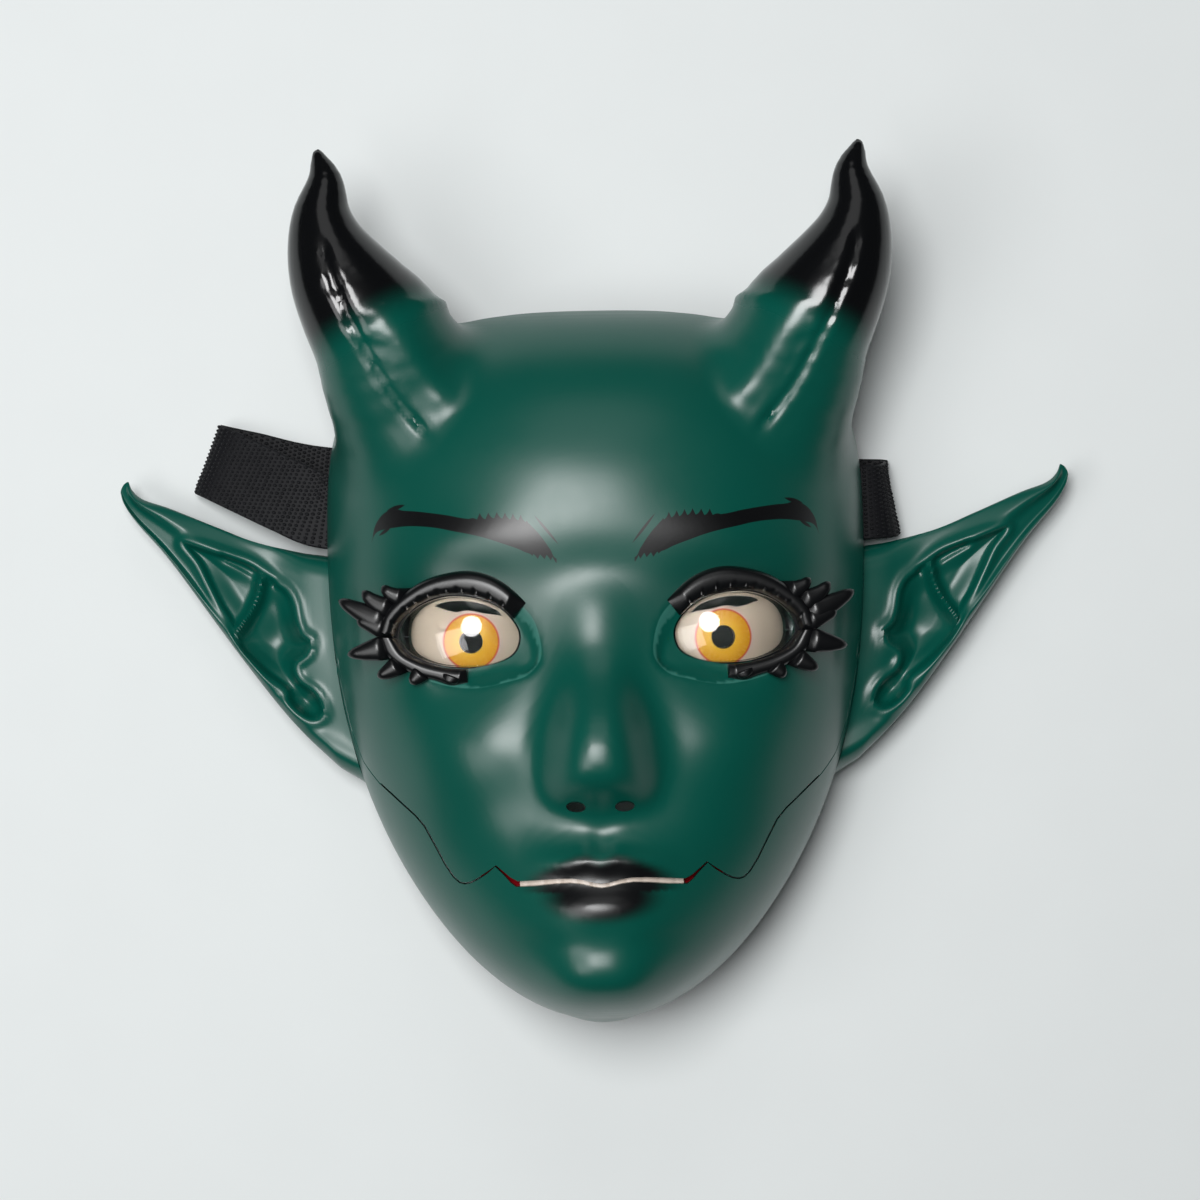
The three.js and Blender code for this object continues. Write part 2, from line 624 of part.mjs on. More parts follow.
// Head strap: flat webbing with a hemmed end inside each slot, laid across under the raised rim
const strapStations = [
  { at: [-77, 31, slot.z], lean: 0, tangent: [-1, 0, 0] },
  { at: [-92, 31.8, slot.z - 0.4], lean: 0.05, tangent: [-1, 0.2, -0.1] },
  { at: [-104, 37, 17], lean: 0.25, tangent: [-1, 0.42, -0.2] },
  { at: [-117, 43.4, 14], lean: 0.38, tangent: [-1, 0.45, -0.3] },
  { at: [-127, 48.4, 10.8], lean: 0.4, tangent: [-1, 0.42, -0.5] },
  { at: [-131.2, 50.4, 6.4], lean: 0.4, tangent: [-0.1, 0, -1] },
  { at: [-127.6, 49.6, 2], lean: 0.38, tangent: [1, -0.25, -0.4] },
  { at: [-118, 47.4, 1.2], lean: 0.24, tangent: [1, -0.24, 0] },
  { at: [-92, 41.6, 1.2], lean: 0.18, tangent: [1, -0.18, 0] },
  { at: [-40, 38, 1.2], lean: 0.06, tangent: [1, -0.06, 0] },
  { at: [40, 35, 1.2], lean: 0.04, tangent: [1, -0.04, 0] },
  { at: [93, 34, 1.2], lean: 0.02, tangent: [1, 0, 0] },
  { at: [98.6, 33.2, 4.4], lean: 0, tangent: [0.6, 0, 1] },
  { at: [100.4, 32.4, 10.2], lean: 0, tangent: [0, 0, 1] },
  { at: [98.2, 31.6, 16], lean: 0, tangent: [-0.7, 0, 1] },
  { at: [92, 31.2, slot.z], lean: 0, tangent: [-1, 0, 0.1] },
  { at: [77, 31, slot.z], lean: 0, tangent: [-1, 0, 0] },
];
const strapRings = strapStations.map(({ at, lean, tangent }) => {
  const along = new THREE.Vector3(...tangent).normalize();
  const width = new THREE.Vector3(lean, 1, 0).projectOnPlane(along).normalize();
  const face = along.clone().cross(width);
  return [[-1, -1], [1, -1], [1, 1], [-1, 1]].map(([u, v]) => new THREE.Vector3(...at)
    .addScaledVector(width, u * webbing.width / 2)
    .addScaledVector(face, v * webbing.thickness / 2).toArray());
});
const strap = solidOf(skin(strapRings));

const paint = (color, roughness, metalness = 0) => new THREE.MeshStandardMaterial({
  color, roughness, metalness,
});
const finishes = {
  green: paint(0x0b5547, 0.38),
  black: paint(0x0a0a0b, 0.22),
  clear: paint(0xf2f6f7, 0.05),
  print: paint(0xdecfbd, 0.4),
  teeth: paint(0xe1cdbe, 0.35),
  red: paint(0x82000f, 0.45),
  webbing: paint(0x161617, 0.85),
};
const mask = new THREE.Group();
mask.position.y = frameShift;

function place(name, geometry, material) {
  const mesh = new THREE.Mesh(geometry, material);
  mesh.name = name;
  mask.add(mesh);
}

// A piece on the +X side and its mirror image on the other, each cut to sit on the shell
function placePair(name, solid, material, cutters = []) {
  const pair = { right_: solid, left_: solidOf(mirrored(geometryOf(solid))) };
  for (const [side, whole] of Object.entries(pair)) {
    const cut = cutters.reduce((left, cutter) => left.subtract(cutter), whole);
    place(side + name, geometryOf(cut), material);
  }
}

place('face_shell', geometryOf(faceSolid), finishes.green);
place('jaw', geometryOf(jawSolid), finishes.green);
placePair('ear', ear(), finishes.green, [besideFace, clearOfJaw]);
placePair('eye', printed, finishes.print);
placePair('lens', lens, finishes.clear);
placePair('upper_lash', lash(upperBand, upperSpikes), finishes.black, [besideFace]);
placePair('lower_lash', lash(lowerBand, lowerSpikes), finishes.black, [besideFace]);
place('teeth', teethBar, finishes.teeth);
place('mouth_lining', liningBar, finishes.red);
place('strap', geometryOf(strap), finishes.webbing);

export default mask;
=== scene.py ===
import math
import bpy
import numpy as np
from mathutils import Matrix, Vector


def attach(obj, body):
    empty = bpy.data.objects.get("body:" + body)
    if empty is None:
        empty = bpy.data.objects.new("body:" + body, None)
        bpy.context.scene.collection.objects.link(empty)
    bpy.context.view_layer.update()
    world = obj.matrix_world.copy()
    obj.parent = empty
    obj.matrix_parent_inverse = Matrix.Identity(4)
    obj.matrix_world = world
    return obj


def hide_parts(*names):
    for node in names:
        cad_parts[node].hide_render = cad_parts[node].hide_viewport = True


# Horned creature mask, lying face up. Sizes in the dictionaries are millimetres in face coordinates:
# x across, y from chin to horns, z out of the face. frameShift brings y into the frame's place.
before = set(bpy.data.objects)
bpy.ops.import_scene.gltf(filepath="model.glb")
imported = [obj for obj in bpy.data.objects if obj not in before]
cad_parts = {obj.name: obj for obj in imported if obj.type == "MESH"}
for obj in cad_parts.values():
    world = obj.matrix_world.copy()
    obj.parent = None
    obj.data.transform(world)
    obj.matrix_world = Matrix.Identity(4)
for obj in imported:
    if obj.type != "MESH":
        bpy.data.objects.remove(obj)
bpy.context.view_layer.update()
scene = bpy.context.scene
frameShift = -5.4
print("frame loaded:", len(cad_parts), "nodes")


# small maths helpers
def mix(a, b, t):
    return a + (b - a) * t


def smooth(lo, hi, v):
    t = np.clip((v - lo) / (hi - lo), 0, 1)
    return t * t * (3 - 2 * t)


def bump(d, width):
    return np.exp(-((d / width) ** 2))


def smoothMin(a, b, k):
    h = np.maximum(k - np.abs(a - b), 0) / k
    return np.minimum(a, b) - h * h * k * 0.25


def spline(points, count):  # Catmull-Rom through the points, count samples
    p = np.array(points, float)
    ends = np.vstack([2 * p[0] - p[1], p, 2 * p[-1] - p[-2]])
    place = np.linspace(0, len(p) - 1, count)
    i = np.minimum(place.astype(int), len(p) - 2)
    t = (place - i)[:, None]
    a, b, c, d = ends[i], ends[i + 1], ends[i + 2], ends[i + 3]
    bend, turn = 2 * a - 5 * b + 4 * c - d, 3 * b - a - 3 * c + d
    return 0.5 * (2 * b + (c - a) * t + bend * t ** 2 + turn * t ** 3)


def closedSpline(points, count):
    p = list(points)
    whole = spline(p[-2:] + p + p[:3], (len(p) + 4) * 16 + 1)
    loop = whole[2 * 16:(len(p) + 2) * 16]
    pick = np.linspace(0, len(loop), count, endpoint=False).astype(int)
    return loop[pick]


def loopDistance(x, y, loop):  # signed distance to a closed outline, negative inside
    best = np.full(x.shape, 1e9)
    inside = np.zeros(x.shape, bool)
    for (ax, ay), (bx, by) in zip(loop, np.roll(loop, -1, axis=0)):
        dx, dy = bx - ax, by - ay
        t = np.clip(((x - ax) * dx + (y - ay) * dy) / (dx * dx + dy * dy + 1e-12), 0, 1)
        best = np.minimum(best, (x - ax - t * dx) ** 2 + (y - ay - t * dy) ** 2)
        crosses = (ay > y) != (by > y)
        with np.errstate(divide="ignore", invalid="ignore"):
            inside ^= crosses & (x < ax + (y - ay) * dx / (by - ay))
    return np.where(inside, -1, 1) * np.sqrt(best)


def lineDistance(x, y, line):  # distance to an open line, and how far along it (0 to 1)
    best = np.full(x.shape, 1e9)
    along = np.zeros(x.shape)
    last = len(line) - 1
    for n in range(last):
        (ax, ay), (bx, by) = line[n], line[n + 1]
        dx, dy = bx - ax, by - ay
        t = np.clip(((x - ax) * dx + (y - ay) * dy) / (dx * dx + dy * dy), 0, 1)
        d = np.hypot(x - ax - t * dx, y - ay - t * dy)
        nearer = d < best
        best = np.where(nearer, d, best)
        along = np.where(nearer, (n + t) / last, along)
    return best, along


# the head as a surface
head = {
    "halfWidth": 93, "widestY": 20, "chinReach": 161.5, "crownReach": 80.8,
    "faceDepth": 83.5, "chinDepth": 87.5, "tuckHeight": 45, "wall": 3,
    "outerStep": 1.3, "innerStep": 3, "innerRelief": 0.72, "hornBlend": 11, "crownBlend": 7,
    "tuckAcross": 1.9e-5, "tuckUp": 6e-5, "roundAcross": 2.6, "roundOutward": 2.2, "endSharpness": 40,
    "hornsFrom": 30, "crownSpread": 82,
}
eye = {"x": 40.4, "y": -12.6, "tilt": 0.13, "apex": 79.4, "ground": -1.6, "bevelDepth": 2.2,
       "flatAcross": 24, "flatUp": 18, "lean": 0.98}
mouth = {"halfWidth": 27.5}
hornStations = [
    (54, 45, 33, 18), (62, 67, 43, 24.4), (68.4, 86, 50, 22.8), (75, 96.3, 54.5, 20), (81, 106, 57, 16.8),
    (85.3, 116, 58.2, 13), (87, 126, 58.5, 9.6), (85.7, 137.5, 58, 5.8), (88, 146.6, 57, 2.1),
]
hornSpine = spline(hornStations, 34)

bevelOuter = closedSpline([
    (-16.8, 11.2), (-20.8, 5.9), (-22.7, -1.9), (-22.0, -6.7), (-17.8, -11.2), (-11.4, -13.1), (-4.2, -14.7),
    (3, -14.8), (12, -13), (20, -9), (27, -1), (26, 7), (18, 14), (8, 17.5), (-4, 17), (-12, 14)], 72)
bevelInner = closedSpline([
    (-13.4, 5.9), (-17.2, 0), (-19.7, -5.2), (-19.6, -8.0), (-16, -8.4), (-10.9, -8.2), (1, -9.9), (10, -9.2),
    (18, -5), (22.5, 1), (21, 8), (14, 12.5), (6, 14.4), (-2, 13.6), (-9, 10.6)], 72)


def outlineHalfWidth(y):
    below = np.clip((head["widestY"] - y) / head["chinReach"], 0, 0.992)
    above = np.clip((y - head["widestY"]) / head["crownReach"], 0, 0.995)
    lower = (1 - below ** 2.3) ** (1 / 1.72)
    upper = (1 - above ** 3) ** (1 / 3)
    return head["halfWidth"] * np.where(y < head["widestY"], lower, upper)


def middleDepth(y):
    below = np.clip((head["widestY"] - y) / head["chinReach"], 0, 0.97)
    above = np.clip((y - head["widestY"]) / head["crownReach"], 0, 0.995)
    full = mix(head["faceDepth"], head["chinDepth"], smooth(0, 150, head["widestY"] - y))
    lower = (1 - below ** 16) ** (1 / 2.4)
    upper = (1 - above ** 2.4) ** (1 / 2.4)
    return full * np.where(y < head["widestY"], lower, upper)


def pair(x, centre, width):  # the same bump left and right
    return bump(x - centre, width) + bump(x + centre, width)


swells = [  # height, place and width across, place and width up; one away from the middle is a pair
    (2, 44, 19, 20, 11),  # brow ridges
    (-2.6, 40, 20, 1, 14),  # eye sockets
    (-1.6, 0, 30, -3, 16), (2.4, 0, 12, -4, 15),  # dip between the eyes, and the bridge in it
    (-1.5, 0, 17, 8.5, 9),  # between the brows
    (4.8, 43, 22, -48, 18), (-2, 46, 17, -86, 17),  # cheekbones, and the hollows below
    (1.7, 13, 5.5, -60, 6.5),  # nostril wings
    (-0.9, 0, 4, -76, 5),  # groove under the nose
]


def reliefOf(x, y):  # height of the features above the plain head
    h = -2.4 * (1 - bump(x, 42)) * smooth(8, 30, y)
    for height, placeX, widthX, placeY, widthY in swells:
        h += height * (pair(x, placeX, widthX) if placeX else bump(x, widthX)) * bump(y - placeY, widthY)
    above, under = np.maximum(y + 49, 0), np.maximum(-49 - y + 0.012 * x * x, 0)
    half = mix(12, 15.8, smooth(-20, -54, y))
    nose = np.exp(-(above / 24) ** 2.3 - (under / 15.5) ** 3)
    h += 18 * nose * np.exp(-np.abs(x / half) ** 2.8)
    h += 7 * bump(x, 30) * np.where(y > -86, bump(y + 86, 14), bump(y + 86, 27))  # around the mouth
    lipFade = 1 - smooth(0.3, 1, np.abs(x) / mouth["halfWidth"])
    h += 2.6 * lipFade * bump(y + 82.4 - 0.9 * pair(x, 5, 4), 3.7)  # edge of the upper lip
    h -= 0.8 * (1 - smooth(12, 24, np.abs(x))) * bump(y + 91, 3)
    pillow = (np.abs(x / 25) ** 2.4 + np.abs((y + 98.4) / 8.8) ** 2.4) ** (1 / 2.4)
    h += 4.8 * np.exp(-pillow ** 2.6)  # lower lip
    h -= 0.5 * bump(x, 20) * bump(y + 103.6 - 0.012 * x * x, 3.4)
    h += 11 * np.exp(-np.abs(x / 21) ** 2.6) * bump(y + 122, 15.5)  # chin
    return h


# maps that depend on x and y only are worked out once, and looked up in between
mapStep = 0.5
mapX = np.arange(0, 112, mapStep)
mapY = np.arange(-165, 160, mapStep)
mapGrid = np.meshgrid(mapX, mapY, indexing="ij")


def lookUp(table, x, y):
    u = np.clip(np.abs(x) / mapStep, 0, len(mapX) - 1.001)
    v = np.clip((y - mapY[0]) / mapStep, 0, len(mapY) - 1.001)
    i, j = u.astype(np.int32), v.astype(np.int32)
    u, v = u - i, v - j
    near = table[i, j] * (1 - u) + table[i + 1, j] * u
    far = table[i, j + 1] * (1 - u) + table[i + 1, j + 1] * u
    return near * (1 - v) + far * v


def eyeCoordinates(x, y):
    return np.abs(x) - eye["x"], y - eye["y"]


reliefMap = reliefOf(*mapGrid)
eyeU, eyeV = eyeCoordinates(*mapGrid)
bevelOutside = loopDistance(eyeU, eyeV, bevelOuter)
bevelInside = loopDistance(eyeU, eyeV, bevelInner)
inward, onward = np.clip(-bevelOutside, 0, None), np.clip(bevelInside, 0, None)
slope = inward / (inward + onward + 1e-6)
eyeMap = -eye["bevelDepth"] * np.where(bevelOutside < 0, np.clip(slope * 1.1, 0, 1), 0)

creaseLine = spline([(86.5, 120), (84.5, 110), (80.5, 99), (75.5, 88), (70.5, 78.5), (64.5, 68), (57.5, 59),
                     (50.8, 51.5)], 30)
wrinkles = [((77.6, 89.6), (66.4, 89.9), 0.55), ((71.4, 83.6), (62.5, 80.4), 0.5),
            ((83.7, 101.7), (75.6, 100.6), 0.45)]
creaseGap, creaseAlong = lineDistance(mapGrid[0], mapGrid[1], creaseLine)
innerSide = smooth(-1, 1, (68.5 * (86.5 - mapGrid[0]) + 35.7 * (mapGrid[1] - 120)) / 77)
creaseEnds = smooth(0, 0.12, creaseAlong) * (1 - smooth(0.88, 1, creaseAlong))
beads = 0.7 + 0.3 * np.sin(creaseAlong * 62) * np.sin(creaseAlong * 17 + 1)
creaseMap = -1.1 * bump(creaseGap, 1.5) * creaseEnds
creaseMap += 0.35 * beads * bump(creaseGap - 3, 2) * creaseEnds
ridgeEnds = smooth(0.35, 0.62, creaseAlong) * (1 - smooth(0.84, 0.99, creaseAlong))
creaseMap += 1.6 * bump(creaseGap - 11.5, 6.2) * innerSide * ridgeEnds
for (ax, ay), (bx, by), depth in wrinkles:
    gap, along = lineDistance(mapGrid[0], mapGrid[1], [(ax, ay), (bx, by)])
    creaseMap -= depth * bump(gap, 1.6) * (1 - along) ** 0.7


def headField(x, y, z, detail):
    lowered = np.maximum(head["tuckHeight"] - z, 0)
    ax = np.abs(x) * (1 + head["tuckAcross"] * lowered ** 2)
    ay = y * np.where(y < 0, 1 + head["tuckUp"] * lowered ** 2, 1)
    height = z - lookUp(reliefMap, x, y) * detail * smooth(15, 45, z)
    across = ax / outlineHalfWidth(ay)
    outward = np.maximum(height, 0) / middleDepth(ay)
    reach = np.where(ay < head["widestY"], (head["widestY"] - ay) / head["chinReach"],
                     (ay - head["widestY"]) / head["crownReach"])
    return across ** head["roundAcross"] + outward ** head["roundOutward"] + reach ** head["endSharpness"] - 1


def hornDistance(x, y, z):
    best = np.full(x.shape, 1e9, np.float32)
    ax = np.abs(x)
    for (a0, a1, a2, ra), (b0, b1, b2, rb) in zip(hornSpine[:-1], hornSpine[1:]):
        dx, dy, dz = b0 - a0, b1 - a1, b2 - a2
        t = np.clip(((ax - a0) * dx + (y - a1) * dy + (z - a2) * dz) / (dx * dx + dy * dy + dz * dz), 0, 1)
        gap = np.sqrt((ax - a0 - t * dx) ** 2 + (y - a1 - t * dy) ** 2 + (z - a2 - t * dz) ** 2)
        best = np.minimum(best, gap - (ra + t * (rb - ra)))
    return best


def gridDistance(x, y, z, step, detail, offset):  # distance to the head on a whole grid
    f = headField(x, y, z, detail).astype(np.float32)
    gx, gy, gz = np.gradient(f, step)
    d = f / np.maximum(np.sqrt(gx * gx + gy * gy + gz * gz), 1e-3) - offset
    first = int(np.searchsorted(y[0, :, 0], head["hornsFrom"]))
    part = (slice(None), slice(first, None), slice(None))
    inset = -offset * 1.2
    horns = hornDistance(x[part], y[part], z[part]) + max(inset, 0)
    crown = (np.abs(x[part]) / head["halfWidth"]) ** 3
    crown = crown + ((y[part] - head["widestY"]) / head["crownReach"]) ** 3
    d[part] = np.maximum(d[part], (crown ** (1 / 3) - 1) * head["crownSpread"] - offset)
    d[part] = smoothMin(d[part], horns, mix(head["hornBlend"], head["crownBlend"], smooth(84, 100, y[part])))
    u, v = eyeCoordinates(x, y)
    ground = bump(u - 3, eye["flatAcross"]) * bump(v - 3, eye["flatUp"])
    plane = (z - eye["apex"] - eye["ground"] + eye["tilt"] * u) * eye["lean"]
    if detail < 1:
        plane = np.maximum(plane - offset + eye["bevelDepth"], d)
    d = mix(d, plane, smooth(0, 0.8, ground) * smooth(46, 56, z))
    if detail == 1:
        front = smooth(48, 62, z)
        d -= lookUp(eyeMap, x, y) * front
        d -= lookUp(creaseMap, x, y) * smooth(45, 60, z)
    return d


def surfaceNets(values, lines):  # closed quad mesh where values change sign
    inside = values < 0
    size = [n - 1 for n in inside.shape]
    count = np.zeros(size, np.int8)
    offsets = [(a, b, c) for a in (0, 1) for b in (0, 1) for c in (0, 1)]
    for a, b, c in offsets:
        count += inside[a:size[0] + a, b:size[1] + b, c:size[2] + c]
    cells = np.argwhere((count > 0) & (count < 8))
    cellIndex = np.full(size, -1, np.int32)
    cellIndex[tuple(cells.T)] = np.arange(len(cells))
    total = np.zeros((len(cells), 3))
    hits = np.zeros(len(cells))
    for axis in range(3):
        for start in (o for o in offsets if o[axis] == 0):
            end = tuple(v + (k == axis) for k, v in enumerate(start))
            va = values[tuple((cells + start).T)]
            vb = values[tuple((cells + end).T)]
            cross = (va < 0) != (vb < 0)
            t = np.where(cross, va / np.where(cross, va - vb, 1), 0)
            place = np.stack([lines[k][cells[:, k] + start[k]] for k in range(3)], axis=1)
            place[:, axis] += t * (lines[axis][cells[:, axis] + 1] - lines[axis][cells[:, axis]])
            total += place * cross[:, None]
            hits += cross
    points = total / hits[:, None]
    quads = []
    for axis in range(3):
        b, c = (axis + 1) % 3, (axis + 2) % 3
        low = [slice(None)] * 3
        high = [slice(None)] * 3
        low[axis], high[axis] = slice(0, -1), slice(1, None)
        changes = inside[tuple(low)] != inside[tuple(high)]
        at = np.argwhere(changes)
        at = at[(at[:, b] > 0) & (at[:, c] > 0) & (at[:, b] < size[b]) & (at[:, c] < size[c])]
        here = inside[tuple(at.T)]
        stepB, stepC = np.eye(3, dtype=int)[b], np.eye(3, dtype=int)[c]
        ring = [at - stepB - stepC, at - stepC, at, at - stepB]
        quad = np.stack([cellIndex[tuple(r.T)] for r in ring], axis=1)
        quad[~here] = quad[~here][:, ::-1]
        quads.append(quad)
    return points, np.vstack(quads)


def makeMesh(name, points, faces):  # places in face millimetres
    mesh = bpy.data.meshes.new(name)
    metres = (np.asarray(points, float) + (0, frameShift, 0)) / 1000
    mesh.from_pydata(metres.tolist(), [], [list(map(int, f)) for f in faces])
    mesh.update()
    obj = bpy.data.objects.new(name, mesh)
    scene.collection.objects.link(obj)
    return obj


def headMesh(name, step, detail, offset, floorZ):
    lines = [np.arange(-106, 106, step), np.arange(-148, 156, step), np.arange(-14, 122, step)]
    lines = [line.astype(np.float32) for line in lines]
    x, y, z = np.meshgrid(*lines, indexing="ij")
    d = gridDistance(x, y, z, step, detail, offset)
    d = np.maximum(d, floorZ - z)
    return makeMesh(name, *surfaceNets(d, lines))


# cutting tools
def drumFaces(n):  # two caps of n corners, and the sides between them
    caps = [list(range(n))[::-1], list(range(n, 2 * n))]
    return caps + [(i, (i + 1) % n, n + (i + 1) % n, n + i) for i in range(n)]


def prism(outline, low, high):  # outline in xy, from low to high in z
    n = len(outline)
    points = [(x, y, low) for x, y in outline] + [(x, y, high) for x, y in outline]
    faces = drumFaces(n)
    around = [(outline[i], outline[(i + 1) % n]) for i in range(n)]
    area = sum(ax * by - bx * ay for (ax, ay), (bx, by) in around)
    if area < 0:
        faces = [list(f)[::-1] for f in faces]
    return points, faces


def placed(points, faces, turn):  # moved by the matrix; a mirrored skin has its faces turned round
    if turn.to_3x3().determinant() < 0:
        faces = [f[::-1] for f in faces]
    return [tuple(turn @ Vector(p)) for p in points], faces


def cutter(points, faces, turn=None):
    return makeMesh("cutter", *((points, faces) if turn is None else placed(points, faces, turn)))


def sidePrism(outline, low, high, turn=None):  # outline as (y, z), from low to high in x
    points, faces = prism(outline, low, high)
    return cutter([(x, y, z) for y, z, x in points], faces, turn)


def carve(obj, tool, operation="DIFFERENCE"):  # cuts with the tool, which is then gone
    modifier = obj.modifiers.new("carve", "BOOLEAN")
    modifier.object = tool
    modifier.operation = operation
    modifier.solver = "MANIFOLD"
    graph = bpy.context.evaluated_depsgraph_get()
    result = bpy.data.meshes.new_from_object(obj.evaluated_get(graph))
    obj.modifiers.clear()
    old = obj.data
    obj.data = result
    bpy.data.meshes.remove(old)
    bpy.data.objects.remove(tool)
    if not len(result.polygons):
        raise RuntimeError("nothing left after carving " + obj.name)
    return obj


def copyOf(obj, name):
    twin = bpy.data.objects.new(name, obj.data.copy())
    scene.collection.objects.link(twin)
    return twin


mirrorX = Matrix.Scale(-1, 4, (1, 0, 0))
outer = headMesh("outerHead", head["outerStep"], 1, 0, -8)
print("outer head:", len(outer.data.polygons), "faces")
inner = headMesh("innerHead", head["innerStep"], head["innerRelief"], -head["wall"], -9)
print("inner head:", len(inner.data.polygons), "faces")
shell = carve(outer, inner)
shell.name = "shell"
print("hollow head:", len(shell.data.polygons), "faces")

# parting line between face and jaw
seam = {"gap": 0.3, "sideX": 71.8, "sideY": -59, "hingeY": -20, "hingeZ": 22, "armRadius": 9,
        "pegRadius": 4, "pegClearance": 0.45, "throatX": 72, "throatY": -50, "throatZ": 44,
        "toolBack": -30, "toolFront": 140, "toolChin": -170, "toolSide": 120}
upperLip = [(0, -89.2), (2.4, -88.9), (6, -88), (9.5, -87.5), (14, -87.6), (20, -88.1), (26.6, -88.7),
            (29, -87.5), (33.6, -83.8)]
lowerLip = [(0, -90.6), (2.4, -90.3), (6, -89.4), (10, -89), (15, -89.3), (21, -90), (27.2, -90.5),
            (29, -89.2), (31, -87), (33.9, -84.3)]
cheekSeam = [(36.5, -86.3), (39.5, -88.4), (42, -89.8), (44, -90.3), (45.8, -90), (47.8, -88.3),
             (50.5, -84.3), (53.5, -78.5), (57, -72), (60, -68.6), (64, -65.3), (68, -62), (71.8, -59)]
sideSeam = [(-59, 49), (-52, 39), (-42, 33)]
jawRim = [(60, -60), (60, -0.4), (-20, 0.6), (-46, 6.2), (-128, 23.6), (-175, 33.6), (-175, -60)]
faceRim = [(160, -60), (160, 60), (128, 47), (98, 34.5), (60, 18.5), (24, 4.2), (15, 0), (-175, 0),
           (-175, -60)]


def shifted(line, amount):  # moved sideways, to the left of its direction when amount is positive
    p = np.array(line, float)
    t = np.gradient(p, axis=0)
    t /= np.linalg.norm(t, axis=1)[:, None]
    return p + np.stack([-t[:, 1], t[:, 0]], axis=1) * amount


def arc(cx, cy, radius, start, end, steps):
    angles = np.linspace(start, end, steps + 1)
    return [(cx + radius * math.cos(a), cy + radius * math.sin(a)) for a in angles]


def jawTool(lip, grow, backAngle, backY):  # the jaw's side of the seam, moved outward by grow
    half = [(x, y) for x, y in lip] + [tuple(p) for p in shifted(cheekSeam, grow)]
    left = [(-x, y) for x, y in half[:0:-1]]
    edge, corner = seam["sideX"] + 0.2, seam["sideY"] + grow
    low, high, chin = seam["toolBack"], seam["toolFront"], seam["toolChin"]
    front = left + half + [(edge, corner), (edge, chin), (-edge, chin), (-edge, corner)]
    tool = cutter(*prism(front, low, high))
    side = [(y + grow * 0.6, z + grow * 0.8) for y, z in sideSeam]
    side += arc(seam["hingeY"], seam["hingeZ"], seam["armRadius"] + grow, math.pi * 0.68, backAngle, 24)
    side += [(backY, low), (chin, low), (chin, high), (corner, high)]
    for turn in (None, mirrorX):
        carve(tool, sidePrism(side, seam["sideX"], seam["toolSide"], turn), "UNION")
    throatY, throatZ = seam["throatY"] + grow, seam["throatZ"] + grow
    throat = [(throatY, low), (throatY, throatZ), (chin, throatZ), (chin, low)]
    return carve(tool, sidePrism(throat, -seam["throatX"], seam["throatX"]), "UNION")


# eyes: openings, printed domes and lenses
almond = closedSpline([
    (-15.7, 0.8), (-14.2, 5.8), (-9, 11.1), (-1.5, 13.9), (8, 14.6), (16.8, 12), (22.8, 7),
    (24.2, 1.6), (20.4, -3.4), (12.2, -6.9), (3, -8.1), (-6.2, -7.4), (-13.4, -4.4)], 72)
eyeParts = {"middle": (3, 2), "lensRadius": 34, "lensWall": 1.2, "printWall": 1.6, "drop": -0.2, "gap": 0.3,
            "pupilRadius": 3.5, "rings": 20, "printGrow": 0.4, "lensGrow": -0.25, "pocketGrow": 0.7,
            "pocketGap": 0.3, "pocketBottom": -16}
eyeTurn = Matrix.Translation((eye["x"], eye["y"], eye["apex"])) @ Matrix.Rotation(eye["tilt"], 4, "Y")


def almondGrown(grow):
    away = almond - eyeParts["middle"]
    return almond + away / np.linalg.norm(away, axis=1)[:, None] * grow


def domePatch(outline, radius, drop, thickness, rings=14, flatBottom=None):
    middle = np.array(eyeParts["middle"], float)
    n = len(outline)
    points = []
    for top in (True, False):
        r = radius if top else radius - thickness
        for k in range(rings + 1):
            for p in outline if k else [middle]:
                u, v = middle + (np.array(p) - middle) * k / rings
                rho = (u - middle[0]) ** 2 + (v - middle[1]) ** 2
                z = drop - radius + math.sqrt(max(r * r - rho, 0))
                points.append((u, v, flatBottom if not top and flatBottom is not None else z))
    half = len(points) // 2
    faces = []
    at = lambda k, j: 0 if k == 0 else 1 + (k - 1) * n + j % n
    for j in range(n):
        faces.append((at(0, 0), at(1, j), at(1, j + 1)))
        faces.append((half + at(0, 0), half + at(1, j + 1), half + at(1, j)))
        for k in range(1, rings):
            quad = (at(k, j), at(k + 1, j), at(k + 1, j + 1), at(k, j + 1))
            faces.append(quad)
            faces.append(tuple(half + v for v in quad[::-1]))
        a, b = at(rings, j), at(rings, j + 1)
        faces.append((a, half + a, half + b, b))
    return points, faces


printDrop = eyeParts["drop"] - eyeParts["lensWall"] - eyeParts["gap"]
printRadius = eyeParts["lensRadius"] - eyeParts["lensWall"] - eyeParts["gap"]
sides = {"right": Matrix.Identity(4), "left": mirrorX}
face = shell
jaw = copyOf(shell, "jawPlastic")
for side, turn in sides.items():
    place = turn @ eyeTurn
    carve(face, cutter(*prism(almondGrown(0), -40, 30), place))
    pocket = domePatch(almondGrown(eyeParts["pocketGrow"]), printRadius + eyeParts["pocketGap"],
                       printDrop + eyeParts["pocketGap"], 1, flatBottom=eyeParts["pocketBottom"])
    carve(face, cutter(*pocket, place))
carve(face, jawTool(upperLip, seam["gap"], -math.pi * 0.4, -17))
carve(face, sidePrism(faceRim, -150, 150))
carve(jaw, jawTool(lowerLip, -seam["gap"], -math.pi * 0.5, -31), "INTERSECT")
carve(jaw, sidePrism(jawRim, -150, 150))
print("face:", len(face.data.polygons), "jaw:", len(jaw.data.polygons), "faces")


